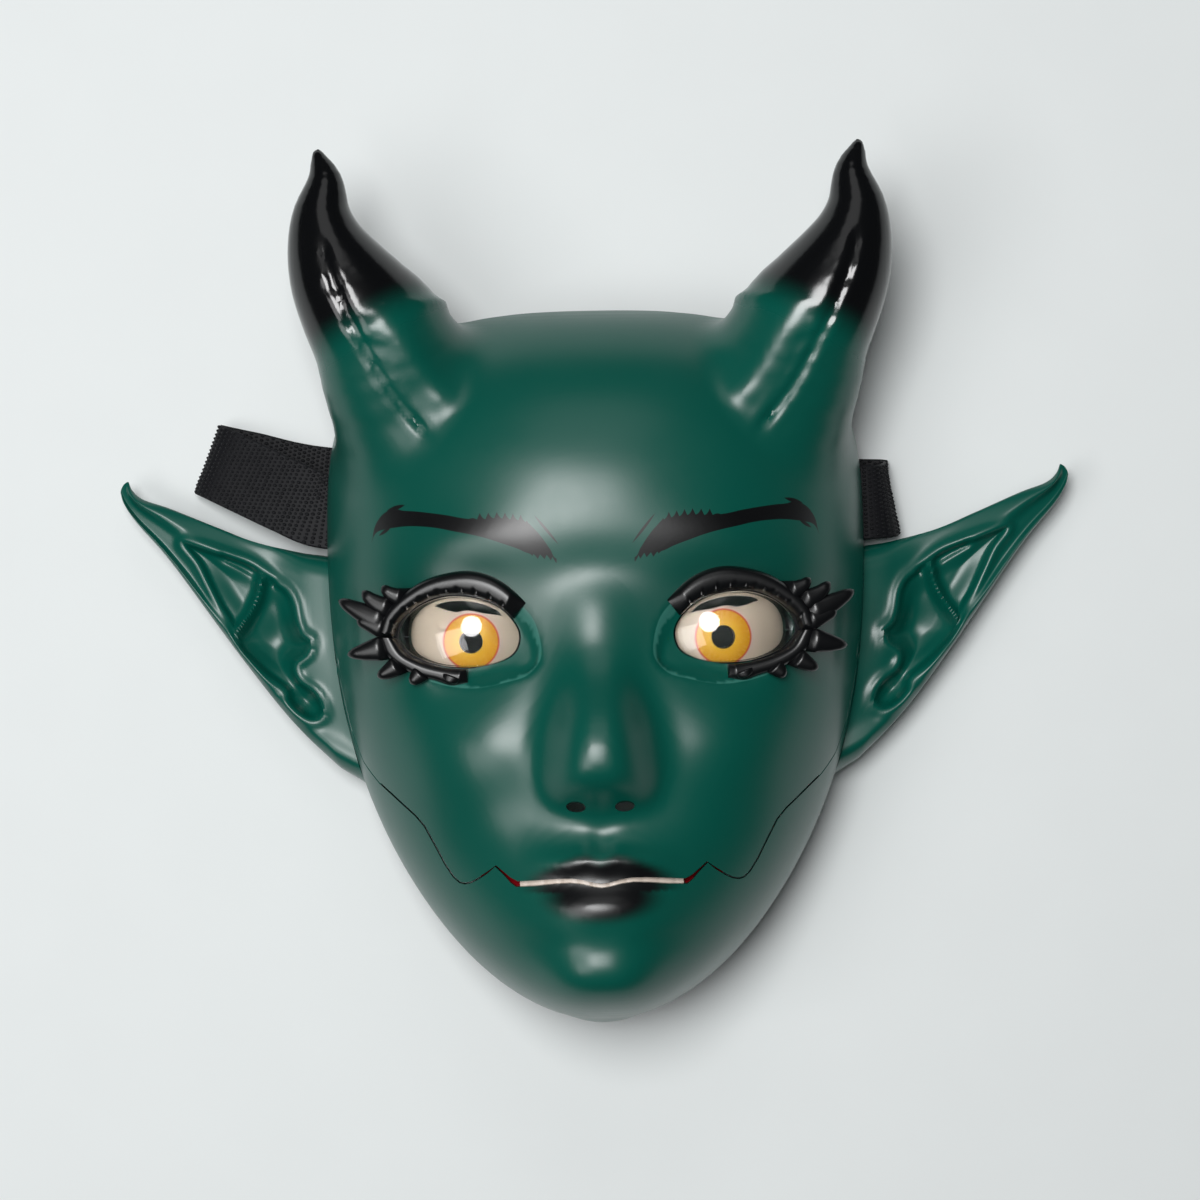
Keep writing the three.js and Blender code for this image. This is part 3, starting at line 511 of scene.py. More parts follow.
# fixings inside the cheeks, strap slots and nostrils
tabOutline = [(73, -45), (75.6, -45), (82.4, -7), (86.4, -5), (86.4, 5), (80.8, 5), (80.4, -7)]
strapSlot = {"y": 31.3, "height": 27.6, "z": 19, "thickness": 4, "inside": 75, "outside": 105}
nostril = {"radius": 3.1, "squash": 0.5, "inside": (8, -68, 70), "outside": (7.4, -61.6, 118)}
hinge = {"tabFront": 33, "pegFrom": 80.1, "pegTo": 87.5, "holeFrom": 73, "holeTo": 103}


def tube(radius, start, end, steps=32, squash=1.0, turn=None):  # closed cylinder between two places
    start, end = Vector(start), Vector(end)
    turned = (end - start).to_track_quat("Z", "Y").to_matrix()
    ringOf = lambda at: [at + turned @ Vector((math.cos(a) * radius, math.sin(a) * radius * squash, 0))
                         for a in np.linspace(0, 2 * math.pi, steps, endpoint=False)]
    return cutter([tuple(p) for p in ringOf(start) + ringOf(end)], drumFaces(steps), turn)


def box(low, high, turn=None):
    corners = [(low[0], low[1]), (high[0], low[1]), (high[0], high[1]), (low[0], high[1])]
    return cutter(*prism(corners, low[2], high[2]), turn)


def alongHinge(low, high):
    return [(x, seam["hingeY"], seam["hingeZ"]) for x in (low, high)]


for side, turn in sides.items():
    tall, deep = strapSlot["height"] / 2, strapSlot["thickness"] / 2
    low, high = ([strapSlot["y"] + way * tall, strapSlot["z"] + way * deep] for way in (-1, 1))
    carve(face, box([strapSlot["inside"]] + low, [strapSlot["outside"]] + high, turn))
    carve(face, tube(nostril["radius"], nostril["inside"], nostril["outside"], 40, nostril["squash"], turn))
    carve(face, cutter(*prism(tabOutline, 0, hinge["tabFront"]), turn), "UNION")
    carve(face, tube(seam["pegRadius"], *alongHinge(hinge["pegFrom"], hinge["pegTo"]), turn=turn), "UNION")
    hole = alongHinge(hinge["holeFrom"], hinge["holeTo"])
    carve(jaw, tube(seam["pegRadius"] + seam["pegClearance"], *hole, turn=turn))
print("face and jaw carved")

# ears
ear = {"along": 120, "across": 76, "rootSink": 3, "hollow": 4.4, "rim": 1.3, "wall": 2.6, "rootWall": 18,
       "rootZ": 25, "tipZ": 13}
earOuter = [(84.5, -61), (105.5, -38.4), (125.4, -11.1), (144, 15.6), (154.8, 28.6), (159.4, 35.4),
            (161, 40.4)]
earUpper = [(93.4, 16.4), (114, 21.4), (128, 27), (143.5, 33.6), (152.4, 36.8), (156.4, 40), (158.2, 43.8)]
earHollow = closedSpline([
    (138.9, 21.5), (134.1, 15.2), (130.7, 8), (127.2, 0.8), (123.8, -4.9), (120.4, -14.2), (115.6, -19.2),
    (111.4, -23.2), (105.1, -28.3), (104.2, -32), (101, -35.8), (96.8, -38.2), (93.4, -37), (93, -33.2),
    (95.9, -28.8), (100.6, -25.4), (102.2, -21.6), (101.4, -18.8), (97.8, -16), (96.8, -11.8), (99.3, -9.8),
    (101.1, -5.3), (102.4, 1.1), (104.6, 5.2), (108, 7.8), (112.1, 11.2), (117.7, 14.9), (126.2, 17.9),
    (133.3, 20.3)], 160)
earCrus = spline([(123.2, -11.5), (121.4, -8.6), (118.9, -5.2), (115.9, -0.4), (113.9, 4.1),
                  (112.6, 9.8)], 24)
earGroove = spline([(125.5, 16.6), (119.2, 13.4), (113.6, 10), (109.2, 8)], 12)


def earRelief(x, y):
    gap = loopDistance(x, y, earHollow)
    crus, groove = lineDistance(x, y, earCrus)[0], lineDistance(x, y, earGroove)[0]
    depth = ear["hollow"] * (0.45 * smooth(0, 1.6, -gap) + 0.55 * smooth(0.5, 8, -gap))
    depth += 3.4 * bump(np.hypot(x - 107.5, y + 11.5), 8.5) * smooth(0.5, 5, -gap)
    depth += 1.6 * bump(np.hypot(x - 97.5, y + 32), 4.5) * smooth(0, 2, -gap)
    h = -depth + ear["rim"] * bump(gap - 1.0, 1.7)
    h += (ear["hollow"] + 0.3) * bump(crus, 1.9) * smooth(0, 1.5, -gap)
    h -= 1.3 * bump(groove - 0.2, 1.1)
    return h


def earMesh(name, turn):
    n, m = ear["along"], ear["across"]
    s, t = np.meshgrid(np.linspace(0, 1, n + 1), np.linspace(0, 1, m + 1), indexing="ij")
    lower, upper = spline(earOuter, n + 1), spline(earUpper, n + 1)
    pinch = np.sqrt(1 - np.clip((s - 0.962) / 0.0385, 0, 1) ** 2)
    x = mix(lower[:, :1], upper[:, :1], 0.5 + (t - 0.5) * pinch)
    y = mix(lower[:, 1:], upper[:, 1:], 0.5 + (t - 0.5) * pinch)
    rootY = mix(earOuter[0][1], earUpper[0][1], t)
    chord = mix(earOuter[0][0], earUpper[0][0], t)
    x = x + (outlineHalfWidth(rootY) - chord) * (1 - s) ** 3
    root = 1 - smooth(0, 0.14, s)
    x = x - ear["rootSink"] * (1 - smooth(0, 0.05, s))
    edge = np.clip(np.minimum(t, 1 - t) * 9, 0, 1)
    rounded = np.sqrt(1 - (1 - edge) ** 2)
    z = mix(ear["rootZ"], ear["tipZ"], s ** 0.8) - 4 * (1 - t) * (1 - s) + 2 * root
    z = z + 2.2 * bump(t - 0.08, 0.09) * (1 - smooth(0.7, 1, s))
    z = z + 2.2 * bump(t - 0.78, 0.17) * smooth(0.1, 0.35, s) * (1 - smooth(0.7, 1, s))
    z = z - 4.5 * smooth(0.35, 1, t) * (1 - smooth(0.05, 0.7, s))
    relief = earRelief(x, y)
    thickness = mix(ear["wall"], ear["rootWall"], root) * mix(1, 0.55, s)
    top = z + relief - (1 - rounded) * thickness * 0.45
    under = z - thickness + relief * 0.75 * (1 - root) + (1 - rounded) * thickness * 0.45
    front = np.stack([x, y, top], axis=-1)
    back = np.stack([x, y, under], axis=-1)
    points = np.vstack([front.reshape(-1, 3), back.reshape(-1, 3)])
    size = (n + 1) * (m + 1)
    at = np.arange(size).reshape(n + 1, m + 1)
    quads = np.stack([at[:-1, :-1], at[1:, :-1], at[1:, 1:], at[:-1, 1:]], axis=-1).reshape(-1, 4)
    faces = [tuple(q) for q in quads] + [tuple(q[::-1] + size) for q in quads]
    edgeLoop = list(at[:, 0]) + list(at[-1, 1:]) + list(at[::-1, -1][1:]) + list(at[0, ::-1][1:])
    faces += [(b, a, a + size, b + size) for a, b in zip(edgeLoop[:-1], edgeLoop[1:])]
    return makeMesh(name, *placed(points, faces, turn))


ears = {side: earMesh(side + "EarPlastic", turn) for side, turn in sides.items()}
print("ears made")

# printed eyes and clear lenses
eyes, lenses = {}, {}
peepSlot = [(-9.6, 8.2), (-7.3, 8.7), (-3.6, 9.2), (0, 10.1), (2.2, 10.2), (5.1, 9.7), (8, 10.3),
            (10.4, 11.2), (12.6, 11.9), (9.5, 13.1), (3.6, 13.4), (-2.2, 12.5), (-7.3, 10.5)]
for side, turn in sides.items():
    place = turn @ eyeTurn
    dome = domePatch(almondGrown(eyeParts["printGrow"]), printRadius, printDrop, eyeParts["printWall"],
                     eyeParts["rings"])
    eyes[side] = cutter(*dome, place)
    pupil = arc(0, 0, eyeParts["pupilRadius"], 0, 2 * math.pi, 64)[:-1]
    for hole in (pupil, closedSpline(peepSlot, 60)):
        carve(eyes[side], cutter(*prism(hole, -30, 10), place))
    dome = domePatch(almondGrown(eyeParts["lensGrow"]), eyeParts["lensRadius"], eyeParts["drop"],
                     eyeParts["lensWall"], eyeParts["rings"])
    lenses[side] = cutter(*dome, place)

# lashes: bands along the lids, and rounded spikes
lash = {"ground": -1.5, "upperHeight": 2.4, "lowerHeight": 2.2, "around": 20,
        "curl": 0.006, "curlFrom": 22, "ticks": (24, 29, 38, 49, 58, 68, 79, 89)}
upperLidEdge = [(25.6, 2.2), (23.6, 7), (17.4, 12), (10.5, 14.7), (3, 15.1), (-3.4, 13.7), (-8.9, 11.2),
                (-13.7, 7.2)]
upperLidTop = [(30, 4.4), (27.3, 10.6), (21.2, 16.2), (13.4, 20.6), (3.2, 22.7), (-4.4, 21.9),
               (-11.2, 18.5), (-18, 12.3)]
lowerLidEdge = [(25.2, 1.6), (21.6, -3.4), (16.2, -6.2), (10.6, -7.8), (6, -8.5), (1.6, -8.7)]
lowerLidBottom = [(30, 2), (28, -3.4), (23, -7.6), (17.5, -10.6), (12, -12.2), (6.6, -13.9), (1.4, -13)]
spikes = {
    "upper": [
        ([(24.6, 7.7), (30, 7.8), (36.6, 10.8), (43.2, 14.2)], [3.6, 3.9, 2.9, 1.4]),
        ([(23, 11.4), (27.4, 11.7), (31.4, 13.6), (35, 17)], [3.5, 3.3, 2.6, 1.3]),
        ([(18.8, 14.6), (22.8, 14.8), (25.8, 16), (28.4, 18.4)], [3.1, 2.9, 2.3, 1.2]),
        ([(25.4, 4.4), (29, 5), (33, 6.6), (37, 8)], [3, 3.1, 2.6, 1.8])],
    "lower": [
        ([(25.4, -1.3), (30, -1.7), (35, -2.6), (40.6, -3.4)], [3.8, 3.9, 2.8, 1.2]),
        ([(21.8, -5.8), (24.6, -7.6), (27.4, -9.2), (30.6, -10.6)], [3.5, 3.2, 2.4, 1.2]),
        ([(15, -8.2), (16.6, -9.9), (18.2, -11.5), (19.7, -13)], [3.4, 3, 2.3, 1.2]),
        ([(6, -9.8), (6.4, -10.9), (6.8, -11.9), (7.2, -12.8)], [3.2, 3, 2.7, 1.8])],
}


def closedSkin(rings):  # rings of points joined, with both ends closed
    count = len(rings[0])
    points = [p for ring in rings for p in ring]
    faces = []
    for i in range(len(rings) - 1):
        for j in range(count):
            a, b = i * count + j, i * count + (j + 1) % count
            faces.append((a, b, b + count, a + count))
    last = (len(rings) - 1) * count
    faces.append(tuple(range(count))[::-1])
    faces.append(tuple(range(last, last + count)))
    middle = np.mean(np.array(points, float), axis=0)
    corners = [[np.array(points[v]) - middle for v in f[:3]] for f in faces[:-2]]
    volume = sum(np.dot(p, np.cross(q, r)) for p, q, r in corners)
    if volume < 0:
        faces = [f[::-1] for f in faces]
    return points, faces


def lashCurl(u):  # how far the outer end bends down with the face
    return lash["curl"] * max(u - lash["curlFrom"], 0) ** 2


def spikeSkin(path, radii, height, steps=26):
    line = spline(path, steps)
    sizes = np.interp(np.linspace(0, 1, steps), np.linspace(0, 1, len(radii)), radii)
    tangents = np.gradient(line, axis=0)
    tangents /= np.linalg.norm(tangents, axis=1)[:, None]
    rings = []
    for k in range(steps):
        endFade = math.sqrt(max(1 - max(0, (k - (steps - 5)) / 4.001) ** 2, 0)) if k > steps - 5 else 1
        rooted = smooth(0, 0.36, k / steps)
        side = (-tangents[k][1], tangents[k][0])
        ring = []
        for a in np.linspace(0, 2 * math.pi, lash["around"], endpoint=False):
            w, h = math.cos(a) * sizes[k] * endFade, math.sin(a) * min(sizes[k], 1.9) * 0.85 * endFade
            lift = height - lashCurl(line[k][0]) - 3 * (1 - rooted)
            ring.append((line[k][0] + side[0] * w, line[k][1] + side[1] * w, lift + h))
        rings.append(ring)
    return closedSkin(rings)


def bandSkin(inner, outer, height, steps=90, ticks=0):
    a, b = spline(inner, steps), spline(outer, steps)
    rings = []
    for k in range(steps):
        s = k / (steps - 1)
        ends = min(1, 9 * (1 - s) + 0.25)
        notch = 0.0
        if ticks:
            notch = 0.7 * max(0, math.cos(s * ticks * 2 * math.pi) - 0.72) / 0.28
        ring = []
        for t in np.linspace(0, 1, 15):
            u, v = a[k] + (b[k] - a[k]) * t
            top = lash["ground"] + height * ends * math.sqrt(max(1 - abs(2 * t - 1) ** 2.6, 0))
            top -= notch * bump(t - 0.16, 0.13)
            ring.append((u, v, top - lashCurl(u)))
        for t in (1, 0.5, 0):
            u, v = a[k] + (b[k] - a[k]) * t
            ring.append((u, v, lash["ground"] - (1.5 if t != 0 else 5) - lashCurl(u)))
        rings.append(ring)
    return closedSkin(rings)


def joined(name, parts, turn):
    points, faces = [], []
    for partPoints, partFaces in parts:
        faces += [tuple(len(points) + v for v in f) for f in partFaces]
        points += partPoints
    return makeMesh(name, *placed(points, faces, turn))


lashes = {}
for side, turn in sides.items():
    place = turn @ eyeTurn
    upper = [bandSkin(upperLidEdge, upperLidTop, lash["upperHeight"] + 0.9, 120, 9)]
    upper += [spikeSkin(path, radii, 0.6) for path, radii in spikes["upper"]]
    lidEdge, lidTop = spline(upperLidEdge, 100), spline(upperLidTop, 100)
    for k in lash["ticks"]:
        reach = lidTop[k] - lidEdge[k]
        tick = [tuple(lidEdge[k] + reach * t) for t in (0.02, 0.12, 0.22, 0.34)]
        upper.append(spikeSkin(tick, [0.45, 0.5, 0.45, 0.3], 1.5, 12))
    lower = [bandSkin(lowerLidEdge, lowerLidBottom, lash["lowerHeight"], 70)]
    lower += [spikeSkin(path, radii, 0.1) for path, radii in spikes["lower"]]
    lashes[side] = {"upper": joined(side + "UpperLash", upper, place),
                    "lower": joined(side + "LowerLash", lower, place)}
print("eyes and lashes made")

# teeth and red lining behind the lips
bars = {"top": -80, "knee": -91.4, "teethDepth": 3.35, "teethWall": 2, "liningDepth": 6.7, "liningWall": 1.5}


def frontHeight(x, y):  # height of the plain outside of the face
    x, y = np.atleast_1d(np.asarray(x, float)), np.atleast_1d(np.asarray(y, float))
    low, high = np.full(x.shape, 20.0), np.full(x.shape, 125.0)
    for halving in range(20):
        middle = (low + high) / 2
        inside = headField(x, y, middle, 1) < 0
        low, high = np.where(inside, middle, low), np.where(inside, high, middle)
    return low


def lipBar(reach, top, bottomAt, depth, thickness, steps, wave=0):
    rings = []
    for x in np.linspace(-reach, reach, steps + 1):
        lower = min(frontHeight(x, -91.2)[0], frontHeight(x, -93.7)[0]) - depth
        upper = min(lower, frontHeight(x, bars["top"])[0] - depth)
        lower -= wave * abs(math.sin(x * math.pi / 5.2)) ** 8
        bottom = bottomAt(abs(x))
        knee = max(bars["knee"], bottom + 0.5)
        bend = (x, mix(knee, top, 0.5), mix(lower, upper, 0.45))
        front = [(x, bottom, lower), (x, knee, lower), bend, (x, top, upper)]
        rings.append(front + [(px, py, pz - thickness) for px, py, pz in front[::-1]])
    return closedSkin(rings)


def seamBelow(x):
    line = [(27.5, -91), (33.9, -84.5), (42.5, -90)]
    return np.interp(x, [p[0] for p in line], [p[1] for p in line]) - 2.2


barTop = bars["top"] - 0.3
teethBar = lipBar(26, barTop, lambda x: -91.95, bars["teethDepth"], bars["teethWall"], 130, 0.35)
liningBar = lipBar(39, barTop, seamBelow, bars["liningDepth"], bars["liningWall"], 60)
teeth, lining = makeMesh("teethRow", *teethBar), makeMesh("mouthLining", *liningBar)
print("teeth and lining made")


# head strap: ribbed webbing laid under the raised rim
strap = {"width": 25, "thickness": 1.3, "samples": 260, "ribPitch": 1.75, "rows": 17,
         "yarn": {"Yarn Length": 0.00155, "Yarn Width": 0.00115, "Yarn Height": 0.0013}}
strapStations = [  # place, lean of the width, direction of the run
    ((-77, 31, 19), 0, (-1, 0, 0)), ((-92, 31.8, 18.6), 0.05, (-1, 0.2, -0.1)),
    ((-104, 37, 17), 0.25, (-1, 0.42, -0.2)), ((-117, 43.4, 14), 0.38, (-1, 0.45, -0.3)),
    ((-127, 48.4, 10.8), 0.4, (-1, 0.42, -0.5)), ((-131.2, 50.4, 6.4), 0.4, (-0.1, 0, -1)),
    ((-127.6, 49.6, 2), 0.38, (1, -0.25, -0.4)), ((-118, 47.4, 1.2), 0.24, (1, -0.24, 0)),
    ((-92, 41.6, 1.2), 0.18, (1, -0.18, 0)), ((-40, 38, 1.2), 0.06, (1, -0.06, 0)),
    ((40, 35, 1.2), 0.04, (1, -0.04, 0)), ((93, 34, 1.2), 0.02, (1, 0, 0)),
    ((98.6, 33.2, 4.4), -0.1, (0.6, 0, 1)), ((100.4, 32.4, 10.2), -0.2, (0, 0, 1)),
    ((98.2, 31.6, 16), -0.16, (-0.7, 0, 1)), ((92, 31.2, 19), 0, (-1, 0, 0.1)), ((77, 31, 19), 0, (-1, 0, 0))]


def strapPath():
    places = np.array([s[0] for s in strapStations], float)
    gaps = np.linalg.norm(np.diff(places, axis=0), axis=1)
    reach = np.concatenate([[0], np.cumsum(gaps)])
    fine = spline(places, 1200)
    lengths = np.concatenate([[0], np.cumsum(np.linalg.norm(np.diff(fine, axis=0), axis=1))])
    even = np.linspace(0, lengths[-1], strap["samples"])
    at = np.stack([np.interp(even, lengths, fine[:, k]) for k in range(3)], axis=1)
    station = np.interp(even, lengths, np.linspace(0, len(places) - 1, 1200))
    lean = np.interp(station, np.arange(len(places)), [s[1] for s in strapStations])
    along = np.gradient(at, axis=0)
    along /= np.linalg.norm(along, axis=1)[:, None]
    width = np.stack([lean, np.ones_like(lean), np.zeros_like(lean)], axis=1)
    width -= along * np.sum(width * along, axis=1)[:, None]
    width /= np.linalg.norm(width, axis=1)[:, None]
    return at, along, width, np.cross(along, width), lengths[-1]


at, along, width, facing, strapLength = strapPath()
rings = []
half, thick = strap["width"] / 2, strap["thickness"] / 2
profile = [(-half, -thick * 0.5), (-half + 0.5, -thick), (half - 0.5, -thick), (half, -thick * 0.5),
           (half, thick * 0.5), (half - 0.5, thick), (-half + 0.5, thick), (-half, thick * 0.5)]
for k in range(strap["samples"]):
    rings.append([tuple(at[k] + width[k] * u + facing[k] * v) for u, v in profile])
ribbon = makeMesh("strapRibbon", *closedSkin(rings))
print("strap length in mm:", round(float(strapLength)))

# one point for each yarn bump, with the ribbon's direction kept on it
bumps, directions, normals = [], [], []
columns = int(strapLength / strap["ribPitch"])
for sideOut in (-1, 1):
    for c in range(columns):
        k = c * (strap["samples"] - 1) / columns
        i, f = int(k), k - int(k)
        after = min(i + 1, strap["samples"] - 1)
        centre, run, wide, out = (mix(v[i], v[after], f) for v in (at, along, width, facing))
        for r in range(strap["rows"]):
            u = (r + 0.5 + (0.5 if c % 2 else 0)) / (strap["rows"] + 0.5) * 2 - 1
            bumps.append(tuple(centre + wide * u * (half - 0.1) + out * sideOut * thick))
            directions.append(tuple(run))
            normals.append(tuple(out * sideOut))
cloud = makeMesh("strapYarns", bumps, [])
for name, values in (("run", directions), ("outward", normals)):
    layer = cloud.data.attributes.new(name, "FLOAT_VECTOR", "POINT")
    layer.data.foreach_set("vector", np.array(values, np.float32).ravel())


class Nodes:  # short hand for building node trees
    def __init__(self, tree):
        self.tree = tree

    def add(self, kind, **settings):
        node = self.tree.nodes.new(kind)
        for key, value in settings.items():
            setattr(node, key, value)
        return node

    def feed(self, socket, value):
        if isinstance(value, bpy.types.NodeSocket):
            self.tree.links.new(value, socket)
        elif value is not None:
            socket.default_value = value

    def make(self, kind, feeds, **settings):  # a node with its inputs fed by name or number
        node = self.add(kind, **settings)
        for socket, value in feeds.items():
            self.feed(node.inputs[socket], value)
        return node

    def calc(self, operation, *values, clamp=False):
        feeds = dict(enumerate(values))
        return self.make("ShaderNodeMath", feeds, operation=operation, use_clamp=clamp).outputs[0]

    def product(self, first, *others):
        for other in others:
            first = self.calc("MULTIPLY", first, other)
        return first

    def length(self, a, b):
        return self.calc("SQRT", self.calc("ADD", self.product(a, a), self.product(b, b)))

    def ramp(self, value, lo, hi):  # smooth step from 0 at lo to 1 at hi
        feeds = {"Value": value, "From Min": lo, "From Max": hi}
        return self.make("ShaderNodeMapRange", feeds, interpolation_type="SMOOTHSTEP").outputs["Result"]

    def fall(self, value, lo, hi):  # smooth step from 1 at lo to 0 at hi
        return self.calc("SUBTRACT", 1, self.ramp(value, lo, hi))

    def blend(self, factor, a, b):
        return self.make("ShaderNodeMix", {"Factor": factor, 6: a, 7: b}, data_type="RGBA").outputs[2]

    def noise(self, vector, scale, detail=2.0, roughness=0.5):
        feeds = {"Vector": vector, "Scale": scale, "Detail": detail, "Roughness": roughness}
        return self.make("ShaderNodeTexNoise", feeds).outputs["Fac"]

    def attribute(self, name):
        return self.add("ShaderNodeAttribute", attribute_name=name).outputs["Fac"]


def socketId(tree, name):
    return next(item.identifier for item in tree.interface.items_tree if item.name == name)


def yarnTree(material):  # a small rounded yarn on every point, lying along the ribbon
    tree = bpy.data.node_groups.new("webbingYarns", "GeometryNodeTree")
    tree.interface.new_socket("Points", in_out="INPUT", socket_type="NodeSocketGeometry")
    tree.interface.new_socket("Yarns", in_out="OUTPUT", socket_type="NodeSocketGeometry")
    for name, default in (("Yarn Length", 0.0013), ("Yarn Width", 0.0011), ("Yarn Height", 0.0007),
                          ("Unevenness", 0.18)):
        tree.interface.new_socket(name, in_out="INPUT", socket_type="NodeSocketFloat").default_value = default
    n = Nodes(tree)
    given, sink = n.add("NodeGroupInput").outputs, n.add("NodeGroupOutput")
    ball = n.make("GeometryNodeMeshIcoSphere", {"Radius": 0.5, "Subdivisions": 1})
    points = n.make("GeometryNodeMeshToPoints", {"Mesh": given["Points"]})
    run, outward = (n.make("GeometryNodeInputNamedAttribute", {"Name": name}, data_type="FLOAT_VECTOR")
                    for name in ("run", "outward"))
    kind = "FunctionNodeAlignRotationToVector"
    laid = n.make(kind, {"Vector": run.outputs["Attribute"]}, axis="X")
    laid = n.make(kind, {"Vector": outward.outputs["Attribute"], "Rotation": laid.outputs["Rotation"]},
                  axis="Z", pivot_axis="X")
    size = n.make("ShaderNodeCombineXYZ", {"X": given["Yarn Length"], "Y": given["Yarn Width"],
                                           "Z": given["Yarn Height"]})
    low, high = n.calc("SUBTRACT", 1, given["Unevenness"]), n.calc("ADD", 1, given["Unevenness"])
    uneven = n.make("FunctionNodeRandomValue", {2: low, 3: high, "Seed": 7}, data_type="FLOAT")
    scaled = n.make("ShaderNodeVectorMath", {0: size.outputs["Vector"], "Scale": uneven.outputs[1]},
                    operation="SCALE")
    placed = n.make("GeometryNodeInstanceOnPoints", {
        "Points": points.outputs["Points"], "Instance": ball.outputs["Mesh"],
        "Rotation": laid.outputs["Rotation"], "Scale": scaled.outputs["Vector"]})
    whole = n.make("GeometryNodeRealizeInstances", {"Geometry": placed.outputs["Instances"]})
    whole = n.make("GeometryNodeSetShadeSmooth", {"Geometry": whole.outputs["Geometry"]})
    whole = n.make("GeometryNodeSetMaterial", {"Geometry": whole.outputs["Geometry"], "Material": material})
    n.feed(sink.inputs["Yarns"], whole.outputs["Geometry"])
    return tree


def grow(obj, tree, values):  # run a node tree on an object and keep the result as a plain mesh
    modifier = obj.modifiers.new(tree.name, "NODES")
    modifier.node_group = tree
    for name, value in values.items():
        modifier[socketId(tree, name)] = value
    graph = bpy.context.evaluated_depsgraph_get()
    mesh = bpy.data.meshes.new_from_object(obj.evaluated_get(graph))
    obj.modifiers.clear()
    obj.data = mesh
    return obj


# materials
def shaderGroup(name, inputs, outputs):
    tree = bpy.data.node_groups.new(name, "ShaderNodeTree")
    for label, kind, default in inputs:
        item = tree.interface.new_socket(label, in_out="INPUT", socket_type="NodeSocket" + kind)
        if default is not None:
            item.default_value = default
    for label, kind in outputs:
        tree.interface.new_socket(label, in_out="OUTPUT", socket_type="NodeSocket" + kind)
    n = Nodes(tree)
    return n, n.add("NodeGroupInput"), n.add("NodeGroupOutput")


def mouldedSkin():  # faint cloudiness, dust-fine orange peel and gloss variation of moulded plastic
    n, source, sink = shaderGroup("mouldedSkin", [
        ("Vector", "Vector", None), ("Colour", "Color", None), ("Cloud", "Float", 0.12),
        ("Gloss", "Float", 0.4), ("Peel", "Float", 0.1)],
        [("Colour", "Color"), ("Roughness", "Float"), ("Normal", "Vector")])
    given = source.outputs
    wide, fine = n.noise(given["Vector"], 14, 3), n.noise(given["Vector"], 900, 2)
    scuff = n.noise(given["Vector"], 60, 5, 0.7)
    # random cloudiness in the plastic's own colour
    cloudTone = n.calc("MULTIPLY_ADD", n.calc("SUBTRACT", wide, 0.5), given["Cloud"], 1.0)
    tint = n.make("ShaderNodeVectorMath", {0: given["Colour"], "Scale": cloudTone}, operation="SCALE")
    n.feed(sink.inputs["Colour"], tint.outputs["Vector"])
    gloss = n.calc("MULTIPLY_ADD", n.calc("SUBTRACT", scuff, 0.5), 0.09, given["Gloss"])
    n.feed(sink.inputs["Roughness"], gloss)
    height = n.calc("MULTIPLY_ADD", fine, 0.5, wide)
    dent = n.make("ShaderNodeBump", {"Distance": 0.00012, "Strength": given["Peel"], "Height": height})
    n.feed(sink.inputs["Normal"], dent.outputs["Normal"])
    return n.tree


def hairStroke():  # one painted stroke between two places, thickest in the middle; places are in mm
    n, source, sink = shaderGroup("hairStroke", [
        ("X", "Float", 0), ("Y", "Float", 0), ("Start X", "Float", 0), ("Start Y", "Float", 0),
        ("End X", "Float", 1), ("End Y", "Float", 0), ("Width", "Float", 0.5)], [("Mask", "Float")])
    given = source.outputs
    dx, dy = (n.calc("SUBTRACT", given["End " + axis], given["Start " + axis]) for axis in "XY")
    px, py = (n.calc("SUBTRACT", given[axis], given["Start " + axis]) for axis in "XY")
    square = n.calc("ADD", n.product(dx, dx), n.product(dy, dy))
    reach = n.calc("ADD", n.product(px, dx), n.product(py, dy))
    along = n.calc("DIVIDE", reach, square, clamp=True)
    gap = n.length(*(n.calc("SUBTRACT", a, n.product(along, b)) for a, b in ((px, dx), (py, dy))))
    taper = n.product(along, n.calc("SUBTRACT", 1, along), 4)
    room = n.calc("SUBTRACT", n.product(taper, given["Width"]), gap)
    n.feed(sink.inputs["Mask"], n.ramp(room, -0.08, 0.1))
    return n.tree


browShape = {
    "top": [(12.3, 13.4), (14.3, 16.3), (17, 20.3), (19.4, 23.1), (22.2, 25.4), (26, 26.1), (31, 26.7),
            (36, 26.5), (41, 26.8), (47.5, 28.1), (53, 29), (58, 29.7), (62, 30.1), (65, 30.8), (68, 29.7),
            (70.5, 27.3), (72, 24.3), (73.3, 20)],
    "bottom": [(12.3, 13.4), (15, 14.6), (18, 14.9), (21, 15.2), (25, 16.9), (30, 18.7), (35, 20.4),
               (39.5, 21.6), (45.6, 22.9), (50.6, 24), (56, 24.7), (61.3, 24.9), (65, 24.6), (68, 24.2),
               (70.5, 23.6), (72, 22.2), (73.3, 20)],
    "strokes": [((19.3, 27.4), (11.7, 17.9), 0.45), ((67.5, 30.2), (61.2, 31.9), 0.7),
                ((66, 24.9), (70.3, 22.2), 0.55)],
    "reach": 80, "height": 40, "toothPitch": 2.7, "toothHeight": 2.0, "lowPitch": 2.2, "lowHeight": 1.5,
}


